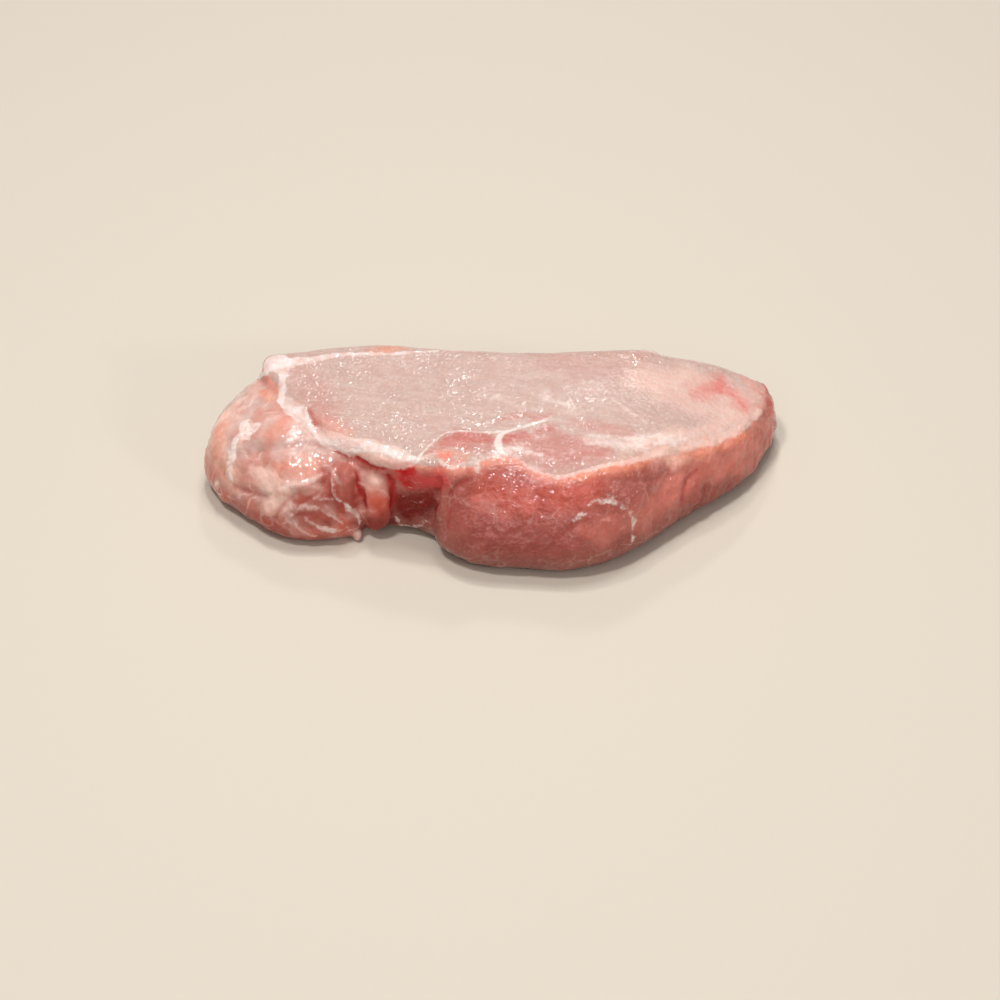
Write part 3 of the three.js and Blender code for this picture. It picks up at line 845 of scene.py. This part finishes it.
CUT_PINK = paint(190, 159, 148)
WALL_MAUVE = paint(172, 90, 80)
WALL_DEEP = paint(158, 78, 72)
WALL_PEACH = paint(240, 142, 126)
LIP_PEACH = paint(222, 146, 126)
PALE = paint(228, 187, 173)
FLAP_PINK = paint(198, 162, 151)
FLAP_LIGHT = paint(255, 208, 190)
FLAP_WALL = paint(212, 86, 68)
ROSE = paint(183, 96, 86)
SCALLOP = paint(240, 144, 112)
BRUISE = paint(208, 114, 106)
RED = paint(224, 84, 58)
FLAP_DEEP = paint(226, 128, 100)
FLAP_RED = paint(162, 58, 45)
PAD = paint(250, 206, 192)
BLOOD = paint(190, 4, 16)
# Dark red for painted shade at the notch.
PAINTED_SHADE_DARK = paint(132, 6, 0)
WEB_RED = paint(202, 60, 60)
KNUCKLE_RED = paint(204, 96, 78)
IVORY_PINK = paint(246, 190, 172)
RUST = paint(228, 136, 92)
# The deep red of the painted shade at the bottom of creases.
CREASE_SHADE_RED = paint(172, 26, 26)
print("pale cut flesh is", CUT_PINK.round(3))

# %% Patches on the eye's cut face
# Each patch is a colour, its strength and softness, and stations.
EYE_PATCHES = [
    # The deeper parts of the eye's cut face.
    (ROSE, 0.5, 3.0, [(-12.7, -12.7, 31.1, 2), (-6.6, -13.5, 31.2, 4), (-0.5, -14.5, 31.3, 3)]),
    (ROSE, 0.55, 4.0, [(7.1, -14.5, 31.2, 3), (16.1, -15, 30.5, 5), (26.7, -16, 30.6, 4),
     (33, -17.5, 31, 2)]),
    (ROSE, 0.2, 6.0, [(-60, 20, 31, 4), (-56, 11, 31, 5), (-52, 4, 31, 4)]),
    (ROSE, 0.16, 6.0, [(18, 27, 31, 5), (32, 24, 31, 6), (46, 27, 31, 5)]),
    (ROSE, 0.3, 3.0, [(10, -20.5, 30.5, 1.5), (18, -23, 29.5, 2.5), (27, -22, 30, 3),
     (36, -19.5, 30.5, 2)]),
    (ROSE, 0.75, 2.5, [(-14.2, -14.1, 31, 2), (-10.2, -12.3, 31, 2.5), (-6, -11.5, 31, 2.5),
     (-1.1, -11.6, 31, 2)]),
    (ROSE, 0.6, 2.5, [(-20.2, -18.9, 31, 1.5), (-18.1, -16.8, 31, 1.5), (-15.7, -15, 31, 1)]),
    (ROSE, 0.75, 2.0, [(4.6, -12.5, 31, 1.5), (6.5, -11, 31, 1.8), (8.6, -10.4, 31, 1.5)]),
    (ROSE, 0.7, 2.0, [(13.2, -7.1, 31, 1.2), (16.3, -6.6, 31, 1.8), (18.7, -7.5, 31, 1.2)]),
    (ROSE, 0.5, 2.0, [(2.5, -3.8, 31, 0.8), (7.1, -1.9, 31, 1.2), (11.7, -0.9, 31, 1.2),
     (16.3, -0.5, 31, 0.8)]),
    (ROSE, 0.4, 3.0, [(28.5, -5.2, 31, 1.5), (34.6, -7.5, 31, 2), (40.6, -8.9, 31, 1.5)]),
    (ROSE, 0.25, 4.0, [(-53.6, 4.4, 31, 1), (-50.8, -1.4, 31, 2.5), (-47.5, -5.7, 30, 2)]),
    (SCALLOP, 0.28, 3.0, [(-53.4, -1.6, 31, 0.5), (-50.6, -4.6, 31, 1.8), (-46.8, -7.4, 30.5, 1.8),
     (-43, -9.2, 30.5, 0.8)]),
]
print(len(EYE_PATCHES), "patches on the cut face")

# %% Patches at the pointed end and under the front rim
END_PATCHES = [
    # The paler pointed end, its bruise, and the rosy end itself.
    (IVORY_PINK, 0.4, 3.0, [(82, 27, 20, 2), (85, 20, 18.5, 2.5), (84, 13, 19, 2.5)]),
    (PALE, 0.6, 6.0, [(48.9, 16, 30, 5), (61.5, 14, 27.9, 9), (74, 16, 24, 8)]),
    (LIP_PEACH, 0.8, 2.5, [(52, -16, 27, 1.5), (61.5, -11, 24.8, 2), (70, -5, 22, 2), (77, 2.2, 20, 2),
     (82, 9, 18, 1.5)]),
    (PALE, 0.7, 4.0, [(44, -14, 30.8, 2), (51.8, -12, 29.4, 3), (60.6, -6.5, 27.1, 3.5),
     (70.3, 0.5, 24.4, 2.5), (78.8, 9.5, 21.5, 2)]),
    (IVORY_PINK, 0.6, 2.5, [(48, -19, 27, 1.2), (54, -15.5, 26, 2.2), (60, -12, 24.5, 2.4), (66, -8, 23, 2),
     (72, -3.5, 21.5, 1.2)]),
    (BRUISE, 0.35, 4.0, [(66, 17, 26, 3), (73, 21, 25, 4), (78, 16, 23, 3)]),
    (BRUISE, 0.7, 3.0, [(70.9, 25.7, 25, 1.2), (71.3, 22.4, 25, 1.8), (71.5, 19.1, 25, 1)]),
    (BRUISE, 0.55, 3.0, [(63.9, 14.6, 27, 1), (66.9, 18.2, 26, 1.2), (70.8, 18.3, 25, 1.2)]),
    (BRUISE, 0.7, 3.0, [(74.7, 20.9, 23.6, 1), (77.1, 17.9, 22.8, 1.6), (79.1, 13.9, 22, 1)]),
    (ROSE, 0.35, 3.0, [(82, 28, 20, 2), (85.5, 22, 18.5, 2), (84.5, 14, 18.5, 1.5)]),
    (ROSE, 0.6, 2.5, [(86.4, 21.6, 18.5, 1.5), (87, 19, 16.6, 2), (85.4, 14.1, 16.6, 2),
     (82.8, 9.2, 17.4, 1.5)]),
    (ROSE, 0.25, 3.0, [(86, 26, 13, 2), (87, 18, 11, 3), (84, 9, 12, 3)]),
    # The warm band under the front rim.
    (RUST, 0.4, 2.5, [(20.5, -27.7, 28.5, 0.6), (26.5, -27.6, 29.6, 1), (32.6, -26, 30.2, 1.2),
     (38.7, -23.7, 30.2, 1.3), (44.8, -20.7, 29.2, 1.4), (49.5, -16.8, 28.6, 1)]),
    (SCALLOP, 0.6, 2.0, [(60.6, -10.8, 25.3, 1.2), (63.8, -9.4, 23.7, 1.5), (67.6, -7, 22.5, 1.2),
     (71.9, -4, 21.1, 1.2), (76.2, 0.5, 20, 1.6), (80.3, 5.5, 18.6, 1)]),
]
print(len(END_PATCHES), "patches at the pointed end and the rim")

# %% Patches on the walls, and the stains
WALL_PATCHES = [
    # The redder top of the bulge's wall, and the paler wall beyond it.
    (WALL_DEEP, 0.5, 5.0, [(-4, -36, 14, 4), (8, -39, 13, 5), (18, -39, 13, 4)]),
    (RED, 0.3, 5.0, [(-2, -31, 27, 3), (8, -33, 26, 3.5), (19, -33, 26, 3.5), (30, -30, 26, 3)]),
    (WALL_PEACH, 0.6, 5.0, [(42, -27, 14, 3), (50, -22, 15, 4), (63.8, -12, 18, 4), (70.3, -7, 16, 4),
     (77, -0.6, 13, 5), (84, 9, 10, 5), (87, 18, 9, 4)]),
    (FLAP_RED, 0.35, 3.0, [(60, -17, 12, 1.5), (64, -14, 9, 3), (69, -10, 8, 3), (75, -4, 6, 2)]),
    (WALL_PEACH, 0.4, 3.0, [(29, -37, 17, 2), (33, -35, 15, 3), (37, -33, 14, 2)]),
    # The light flank of the flap.
    (FLAP_LIGHT, 0.8, 4.0, [(-82, 9, 22.5, 3), (-85, 3, 19, 4), (-84, -4, 16, 4), (-80, -10, 14, 3.5)]),
    # Stains on the flap, at the notch and on the back rim.
    (RUST, 0.5, 2.0, [(-72.6, 14.7, 27.1, 1.2), (-70.3, 12.9, 27.8, 1.6), (-68, 11.6, 28.5, 1.2)]),
    (RUST, 0.4, 2.0, [(-16.3, -18.9, 31, 1), (-12.5, -19.6, 31, 1.6), (-8, -20, 31, 1)]),
    (RED, 0.7, 2.2, [(-15.3, -19.9, 31, 0.6), (-13.2, -20.9, 31, 1.2), (-11.1, -21.5, 31, 1.2),
     (-8.9, -21.5, 31, 0.6)]),
    (RUST, 0.5, 1.8, [(-37.5, 30.8, 31, 0.8), (-34.4, 32, 31, 1.4), (-31.2, 32.1, 31, 1.5),
     (-28.1, 31.6, 31, 1)]),
]
print(len(WALL_PATCHES), "patches on the walls and stains")

# %% Patches on the flap
FLAP_PATCHES = [
    # Warm and deep places on the flap.
    (FLAP_DEEP, 0.3, 3.0, [(-77.4, -8.8, 19.2, 2), (-74.2, -10.5, 20.2, 2.5), (-70.3, -12.5, 21.2, 2.5),
     (-67.1, -14.4, 21.6, 2)]),
    (FLAP_DEEP, 0.55, 4.0, [(-63.7, -15, 23, 2), (-60.6, -16.3, 23.2, 2.5), (-57, -17, 22.9, 2.5),
     (-53.5, -16.5, 23.6, 2)]),
    (FLAP_DEEP, 0.55, 3.0, [(-62, 3, 30, 1), (-63.5, -2.6, 28.8, 2.5), (-68, -6.8, 26.3, 2)]),
    (FLAP_DEEP, 0.4, 3.0, [(-83.8, 5.6, 21.7, 2), (-84.9, 0.8, 19.7, 2.5), (-85.1, -2.8, 16.8, 2.5),
     (-83.4, -7, 14.2, 2)]),
    (FLAP_RED, 0.85, 2.0, [(-50.2, -18.9, 22.3, 1.5), (-49.4, -21.2, 20, 3), (-47.3, -23.3, 17.5, 3),
     (-45, -23.6, 14, 2.5)]),
    (FLAP_RED, 0.8, 2.0, [(-46.5, -16.8, 24.6, 1.5), (-44.3, -18.8, 24.6, 2.5), (-43, -21.8, 21, 2.5),
     (-42, -23.2, 16.5, 2)]),
    (FLAP_RED, 0.85, 2.0, [(-58, -23, 15.5, 1.5), (-55, -23, 16.2, 2), (-51.5, -23.2, 16.4, 2)]),
    (FLAP_RED, 0.88, 3.0, [(-58.5, -25.6, 11.9, 2), (-53.9, -26, 11.5, 2.5), (-49.4, -26.3, 10.1, 2.5)]),
    (FLAP_RED, 0.6, 3.0, [(-80, -13, 5, 3), (-73.7, -19.1, 6, 4), (-69.6, -22.9, 5, 4), (-64.9, -25.4, 5, 4),
     (-58.8, -26.1, 3.7, 3), (-51.3, -25, 1.8, 2)]),
    # The flap's two translucent pads.
    (PAD, 0.65, 0.9, [(-72.5, -12.8, 19.3, 1.6), (-69.7, -15.9, 18.5, 3.4), (-67.7, -17.5, 18.2, 3.2),
     (-65, -19.7, 17.7, 1.8)]),
    (PAD, 0.7, 0.9, [(-63, -21.2, 16.6, 2.4), (-64.9, -21.9, 14.4, 4), (-66.6, -22.8, 11.9, 3.8),
     (-68.2, -23.4, 9.8, 1.8)]),
]
print(len(FLAP_PATCHES), "patches on the flap")

# %% Patches at the notch
NOTCH_PATCHES = [
    # The knuckle's ball, the bloody web beside it, and painted shade at the notch.
    (RED, 0.8, 4.0, [(-36.4, -23.1, 17, 1), (-34.6, -24, 15, 2.5), (-34.1, -24.2, 11.5, 2.5)]),
    (IVORY_PINK, 0.7, 2.0, [(-39.5, -18.8, 22.8, 1), (-37.5, -20.3, 21.8, 2), (-35.6, -21.4, 21.8, 1.2)]),
    (KNUCKLE_RED, 0.5, 2.5, [(-36.6, -23.4, 17.4, 0.4), (-36, -24.2, 14, 1.2), (-36, -24.4, 11, 0.8)]),
    (WEB_RED, 0.8, 3.0, [(-28.4, -21.8, 24.8, 2), (-24.7, -22.8, 24.1, 3.5), (-20.2, -23.9, 25.2, 3.5),
     (-16.5, -24.9, 26.8, 2)]),
    # Painted shade in the recess of the web.
    (PAINTED_SHADE_DARK, 0.92, 3.0, [(-28.3, -21.8, 15.1, 2.5), (-25, -22.2, 13.4, 4), (-20.6, -24, 15.9, 3.5),
     (-18.4, -25.1, 19.7, 1.5)]),
    # Painted shade under the knuckle's foot.
    (PAINTED_SHADE_DARK, 0.75, 4.0, [(-39, -22.5, 6, 2), (-36, -23.8, 6, 3.5), (-32.5, -23, 6.5, 3),
     (-30.5, -20.5, 6, 1.5)]),
    # Painted shade in the gap where the bulge begins.
    (PAINTED_SHADE_DARK, 0.8, 1.0, [(-16.5, -25.4, 24.7, 0.3), (-17, -26.2, 20, 0.6), (-17.8, -26.4, 14, 0.7),
     (-18.6, -26, 9, 0.4)]),
    (BLOOD, 0.6, 1.5, [(-32.6, -19.7, 28.3, 0.4), (-29.5, -20.9, 28.1, 0.6), (-26.5, -21.8, 28.5, 0.6)]),
    (BLOOD, 0.85, 2.0, [(-28, -21.6, 27.1, 1), (-25.9, -22.4, 27.1, 1.8), (-23.8, -22.7, 28.1, 1)]),
    (BLOOD, 0.8, 1.5, [(-26.8, -22.2, 26, 1.2), (-26, -22.4, 23, 1.2), (-25.4, -22.3, 19.7, 0.8)]),
]
print(len(NOTCH_PATCHES), "patches at the notch")

# %% Paint the patches, and the painted shade in creases and at the foot
PATCHES = EYE_PATCHES + END_PATCHES + WALL_PATCHES + FLAP_PATCHES + NOTCH_PATCHES
PATCH_INNER_SHARE = 0.5
CREASE_SHADE_WIDTH = 0.6
LIP_FROM, LIP_TO = 0.8, 4.2
MOTTLE_SIZE = 11
# Painted shade makes the foot deeper, from this share of the thickness down.
FOOT_FROM = 0.8
PAINTED_FOOT_SHADE = 0.45 * np.array([0.8, 1, 1.1])

below_lip = soft_step(rim_gap, LIP_FROM, LIP_TO)[:, None]
eye_wall = LIP_PEACH + (WALL_MAUVE - LIP_PEACH) * below_lip
eye_flesh = CUT_PINK + (eye_wall - CUT_PINK) * wall[:, None]
flap_flesh = FLAP_WALL + (FLAP_PINK - FLAP_WALL) * flap_open[:, None]
flesh = eye_flesh * (1 - flap_side[:, None]) + flap_flesh * flap_side[:, None]
bare = np.ones(len(skin))
for colour, strength, softness, stations in PATCHES:
    outside = outside_line(lay(stations), patch_spots)
    share = strength * soft_step(-outside, -softness, PATCH_INNER_SHARE * softness)
    flesh = flesh + (colour - flesh) * share[:, None]
    bare *= 1 - share
# Painted shade: each crease's bottom is darkened towards deep red.
for (_, _, strength, _), gap in zip(CREASES, crease_gaps):
    share = strength * np.exp(-((np.maximum(gap, 0) / CREASE_SHADE_WIDTH) ** 2))
    flesh = flesh + (CREASE_SHADE_RED - flesh) * share[:, None]
    bare *= 1 - share

flesh = flesh * (1 + ((0.04 + 0.1 * wall) * lumps(skin, MOTTLE_SIZE))[:, None] * np.array([0.5, 1, 1]))
# Painted shade: the flesh darkens towards the foot.
foot = soft_step(-skin[:, 2] / eye_top(skin[:, 0], skin[:, 1]), -FOOT_FROM, 0)
flesh = flesh * (1 - PAINTED_FOOT_SHADE * foot[:, None])

layer = mesh.color_attributes.new("flesh", "FLOAT_COLOR", "POINT")
layer.data.foreach_set("color", np.column_stack([flesh, bare]).ravel().astype(np.float32))
print("flesh averages", flesh.mean(axis=0).round(3))

# %% [markdown]
# ## The material
# One Principled material covers the chop, because fat and flesh run into each other. Small
# helpers keep the node cells short: one adds a node and wires its inputs, two do arithmetic, one
# cuts a value into a mask, one blends two colours, and one makes the noise that most of the
# finish comes from.

# %% Helpers for the nodes
meat = bpy.data.materials.new("meat")
meat.use_nodes = True
tree = meat.node_tree
tree.nodes.clear()


def wire(value, socket):
    if isinstance(value, bpy.types.NodeSocket):
        tree.links.new(value, socket)
    else:
        socket.default_value = value


def add(kind, inputs=(), **settings):
    """A new node with its settings and inputs, each a plain value or another node's output."""
    made = tree.nodes.new("ShaderNode" + kind)
    for name, value in settings.items():
        setattr(made, name, value)
    for name, value in dict(inputs).items():
        wire(value, made.inputs[name])
    return made


def reckon(operation, a, b=0.0, c=0.0):
    return add("Math", {0: a, 1: b, 2: c}, operation=operation).outputs[0]


def times(product, *others):
    for other in others:
        product = reckon("MULTIPLY", product, other)
    return product


def mask(value, start, end, low=0.0, high=1.0):
    """A soft cut: low where value is at start, high where it is at end."""
    inputs = {"Value": value, "From Min": start, "From Max": end, "To Min": low, "To Max": high}
    return add("MapRange", inputs, interpolation_type="SMOOTHSTEP").outputs[0]


def blend_colours(share, under, over, way="MIX"):
    made = add("Mix", {0: share, 6: under, 7: over}, data_type="RGBA", blend_type=way)
    return made.outputs[2]


def measure(name):
    return add("Attribute", attribute_name=name).outputs["Fac"]


def tint(red, green, blue):
    """A colour as seen on a screen, for a colour socket."""
    return (*(float(part) for part in paint(red, green, blue)), 1)


place = add("TexCoord").outputs["Object"]


def speckle(size, detail=2.0, stretch=None, roughness=0.5):
    """Noise of about 0 to 1 with lumps about size mm across, stretched along a turned x."""
    where = place
    if stretch:
        turn, length = stretch
        turning = {"Vector": place, "Rotation": [math.radians(angle) for angle in turn]}
        turned_place = add("VectorRotate", turning, rotation_type="EULER_XYZ").outputs[0]
        where = add("VectorMath", {0: turned_place, 1: (1 / length, 1, 1)}, operation="MULTIPLY").outputs[0]
    inputs = {"Vector": where, "Scale": 1 / (size * MM), "Detail": detail, "Roughness": roughness}
    return add("TexNoise", inputs).outputs["Fac"]


print("nodes so far:", len(tree.nodes))

# %% [markdown]
# Cut muscle is a field of fibre ends: fine grains, paler and rosier, about a millimetre across,
# stronger in some places than in others. Here and there the knife drew them into short streaks.
# A picture laid over the chop would stretch down its walls. Noise in the chop's own space
# doesn't, and the size of its grains is a plain number.

# %% Grain of the cut face
MOTTLE_DARK, MOTTLE_LIGHT = (0.8, 0.62, 0.56, 1), (1.14, 1.22, 1.24, 1)
PALE_GRAIN, ROSY_GRAIN, STREAK = tint(244, 224, 214), tint(204, 122, 108), tint(238, 212, 202)
PALE_SHARE, ROSY_SHARE, STREAK_SHARE = 0.2, 0.13, 0.1

cut, flap = measure("cut"), measure("flap")
painted = add("VertexColor", layer_name="flesh")
flesh_paint, bare = painted.outputs["Color"], painted.outputs["Alpha"]

mottle = blend_colours(mask(speckle(4.5, 2.0), 0.32, 0.68), MOTTLE_DARK, MOTTLE_LIGHT)
mottled = blend_colours(mask(cut, 0.0, 1.0, 0.5, 0.14), flesh_paint, mottle, "MULTIPLY")
grain = speckle(1.2, 3.0, roughness=0.6)
grainy = mask(speckle(13.0, 3.0), 0.42, 0.58, 0.5, 1.0)
pale = times(mask(grain, 0.5, 0.7), grainy, cut, PALE_SHARE)
rosy = times(mask(grain, 0.5, 0.3), grainy, ROSY_SHARE)
streaks = times(mask(speckle(1.8, 3.0, ((0, 0, 12), 5.0)), 0.46, 0.64, 0.0, STREAK_SHARE), cut)
grained = blend_colours(rosy, blend_colours(pale, mottled, PALE_GRAIN), ROSY_GRAIN)
grained = blend_colours(streaks, grained, STREAK)
print("nodes so far:", len(tree.nodes))

# %% [markdown]
# The walls show the fibres lengthwise under a torn web of pale film, and the flap is blotchy,
# where its fat shines through. A Voronoi texture's distance to the edge draws the web's lines,
# once noise has led its cells astray.

# %% Blotches, fibres and film
WARM_BLOTCH, PALE_BLOTCH = tint(224, 124, 104), tint(232, 196, 186)
FIBRE, FILM = tint(230, 166, 150), tint(244, 214, 202)
BLOTCH_SHARE, FIBRE_SHARE = 0.3, 0.16
WALL_FILM_SHARE, FLAP_FILM_SHARE = 0.14, 0.38
FILM_SWAY, FILM_SWAY_SIZE = 8 * MM, 7 * MM
FILM_LINE = 0.07


def film_lines(size):
    """The thin lines between wandering cells about size mm across: 1 on a line, 0 off it."""
    sway = add("TexNoise", {"Vector": place, "Scale": 1 / FILM_SWAY_SIZE, "Detail": 4.0}).outputs["Color"]
    led = add("VectorMath", {0: sway, 1: (FILM_SWAY,) * 3, 2: place}, operation="MULTIPLY_ADD").outputs[0]
    cells = {"Vector": led, "Scale": 1 / (size * MM)}
    gap = add("TexVoronoi", cells, feature="DISTANCE_TO_EDGE").outputs["Distance"]
    return mask(gap, 0.0, FILM_LINE, 1.0, 0.0)


blotch = blend_colours(mask(speckle(8.0, 3.0), 0.4, 0.6), WARM_BLOTCH, PALE_BLOTCH)
blotched = blend_colours(times(bare, BLOTCH_SHARE, flap), grained, blotch)
fibres_up = mask(speckle(0.7, 2.0, ((0, 45, 15), 7.0)), 0.52, 0.74)
fibres_down = mask(speckle(0.6, 2.0, ((0, -35, -15), 6.0)), 0.54, 0.76)
on_wall = times(reckon("SUBTRACT", 1.0, cut), bare)
fibres = times(reckon("MAXIMUM", fibres_up, fibres_down), on_wall, FIBRE_SHARE)
walled = blend_colours(fibres, blotched, FIBRE)
film = times(film_lines(9.0), mask(speckle(6.0, 2.0), 0.42, 0.6), on_wall)
filmed = blend_colours(times(film, mask(flap, 0.0, 1.0, WALL_FILM_SHARE, FLAP_FILM_SHARE)), walled, FILM)
print("nodes so far:", len(tree.nodes))

# %% [markdown]
# Fat is cut crisp from its distance measure, after a little noise has made the edge ragged.
# Veils use the same idea with a wide, broken border.

# %% Fat, strands and veils
VEIL, STRAND, FINE_SEAM = tint(240, 225, 216), tint(232, 200, 188), tint(234, 222, 214)
PINK_FAT, IVORY_FAT, THICK_FAT = tint(216, 184, 173), tint(230, 214, 207), tint(242, 233, 228)
FAT_SHARE, STRAND_SHARE, SEAM_SHARE, THICK_SHARE = 0.88, 0.62, 0.7, 0.5


def ragged(name, size, detail, roughness, sway, edge, share):
    """Where a measure says inside, with a border that noise frays by up to sway mm each way."""
    rag = reckon("MULTIPLY_ADD", speckle(size, detail, roughness=roughness), 2 * sway, -sway)
    return mask(reckon("ADD", measure(name), rag), edge, -edge, 0.0, share)


veil_edge = mask(cut, 0.0, 1.0, 0.55, 2.2)
veil_rag = reckon("MULTIPLY_ADD", speckle(2.0, 5.0, roughness=0.85), 4.4, -2.2)
inside_veil = mask(reckon("ADD", measure("veil"), veil_rag), veil_edge, times(veil_edge, -1.0))
veiled = times(inside_veil, mask(speckle(1.3, 3.0, ((0, 40, 20), 3.0)), 0.36, 0.6, 0.4, 0.82))

fat_colour = blend_colours(mask(speckle(3.5, 3.0), 0.35, 0.65), PINK_FAT, IVORY_FAT)
fat_colour = blend_colours(mask(measure("fat"), -1.2, -2.8, 0.0, THICK_SHARE), fat_colour, THICK_FAT)
colour = blend_colours(veiled, filmed, VEIL)
colour = blend_colours(ragged("strand", 1.6, 4.0, 0.75, 1.1, 0.55, STRAND_SHARE), colour, STRAND)
colour = blend_colours(ragged("fat", 2.4, 4.0, 0.7, 1.5, 0.4, FAT_SHARE), colour, fat_colour)
colour = blend_colours(ragged("seam", 2.0, 3.0, 0.5, 0.4, 0.35, SEAM_SHARE), colour, FINE_SEAM)
print("nodes so far:", len(tree.nodes))

# %% [markdown]
# Raw meat is wet. A clear coat is its film of juice, and fine bumps tip it towards the lights,
# so it glints. How many glints there are, and how small, follows from the bump's size and
# strength. The coat is thinner in broad patches and where the colour is painted strongly, as
# real meat shines here and not there. Long wrinkles follow the fibres down the walls.

# %% Bumps and the wet surface
FINE_DEPTH, WRINKLE_DEPTH, SOFT_DEPTH = 0.6 * MM, 0.6 * MM, 0.5 * MM
WALL_FINE, FLAP_FINE, CUT_FINE = 0.4, 0.22, 0.55
WALL_WRINKLES, FLAP_WRINKLES = 0.7, 0.2
SOFT_STRENGTH = 0.6
WALL_DRY_COAT, CUT_DRY_COAT = 0.9, 0.25

fine = add("Bump", {
    "Height": speckle(1.4, 1.0), "Distance": FINE_DEPTH,
    "Strength": mask(cut, 0.0, 1.0, mask(flap, 0.0, 1.0, WALL_FINE, FLAP_FINE), CUT_FINE),
})
wrinkles = add("Bump", {
    "Height": speckle(1.5, 2.0, ((0, 50, 15), 4.0)), "Distance": WRINKLE_DEPTH,
    "Strength": mask(cut, 0.0, 1.0, mask(flap, 0.0, 1.0, WALL_WRINKLES, FLAP_WRINKLES), 0.0),
    "Normal": fine.outputs[0],
})
soft = add("Bump", {
    "Height": speckle(2.6, 1.5), "Distance": SOFT_DEPTH, "Strength": SOFT_STRENGTH,
    "Normal": wrinkles.outputs[0],
})
wet_patches = mask(speckle(14.0, 3.0), 0.42, 0.58, mask(cut, 0.0, 1.0, WALL_DRY_COAT, CUT_DRY_COAT), 1.0)

surface = add("BsdfPrincipled", {
    "Base Color": colour,
    "Roughness": mask(flap, 0.0, 1.0, 0.5, 0.4),
    "IOR": 1.4,
    "Specular IOR Level": 0.2,
    "Subsurface Weight": 0.3,
    "Subsurface Radius": (1.0, 0.35, 0.22),
    "Subsurface Scale": 2.0 * MM,
    "Coat Weight": times(mask(bare, 0.0, 0.6, 0.12, 1.0), wet_patches),
    "Coat IOR": 1.36,
    "Coat Roughness": 0.04,
    "Normal": soft.outputs[0],
    "Coat Normal": soft.outputs[0],
})
add("OutputMaterial", {"Surface": surface.outputs[0]})
mesh.materials.append(meat)
print("nodes in all:", len(tree.nodes))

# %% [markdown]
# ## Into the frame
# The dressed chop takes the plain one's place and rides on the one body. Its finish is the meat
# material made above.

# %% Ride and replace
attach(pork, "root")
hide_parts("chop")
print(pork.name, "takes the place of the plain chop")

# %% [markdown]
# ## Floor and light
# A plain pale floor and six square lights. The key, overhead, and the broad fill, in front, light
# the meat. The others are small, because a small bright light makes a sharp glint: the window,
# behind, wakes the cut face, the sparkle the flap, the lip light the front rim, and the side
# light the pointed end. A faint pale world lifts the shaded front.

# %% Floor
FLOOR_SIZE = 3.0
FLOOR_COLOUR = (0.6, 0.53, 0.44, 1)
FLOOR_ROUGHNESS = 0.7

bpy.ops.mesh.primitive_plane_add(size=FLOOR_SIZE)
floor = bpy.context.object
floor.name = "floor"
floor_finish = bpy.data.materials.new("floor")
floor_finish.use_nodes = True
floor_shader = floor_finish.node_tree.nodes["Principled BSDF"]
floor_shader.inputs["Base Color"].default_value = FLOOR_COLOUR
floor_shader.inputs["Roughness"].default_value = FLOOR_ROUGHNESS
floor.data.materials.append(floor_finish)
print("floor", FLOOR_SIZE, "m wide")


# %% Lights
def softbox(name, spot, size, power):
    """A square light that faces the chop, its spot in metres."""
    light = bpy.data.lights.new(name, "AREA")
    light.size = size
    light.energy = power
    lamp = bpy.data.objects.new(name, light)
    lamp.location = spot
    lamp.rotation_euler = (-Vector(spot)).to_track_quat("-Z", "Y").to_euler()
    bpy.context.collection.objects.link(lamp)


# Each light's spot and size in metres, and its power in watts.
LIGHTS = {
    "key": ((0.1, 0.3, 1.2), 0.4, 5.4),
    "sparkle": ((-0.3, -0.26, 1.15), 0.15, 6),
    "window": ((0.1, 1.3, 1.15), 0.14, 3.8),
    "lip": ((-0.1, 0.45, 1.15), 0.1, 2.7),
    "fill": ((-0.1, -0.9, 1.0), 0.8, 3),
    "side": ((0.8, -0.6, 0.5), 0.15, 1.8),
}
WORLD_GLOW = 0.22

for name, (spot, size, power) in LIGHTS.items():
    softbox(name, spot, size, power)

world = bpy.data.worlds.new("studio")
world.use_nodes = True
background = world.node_tree.nodes["Background"]
background.inputs["Color"].default_value = (1, 1, 1, 1)
background.inputs["Strength"].default_value = WORLD_GLOW
bpy.context.scene.world = world
bpy.context.scene.view_settings.view_transform = "Standard"
print(len(LIGHTS), "lights")
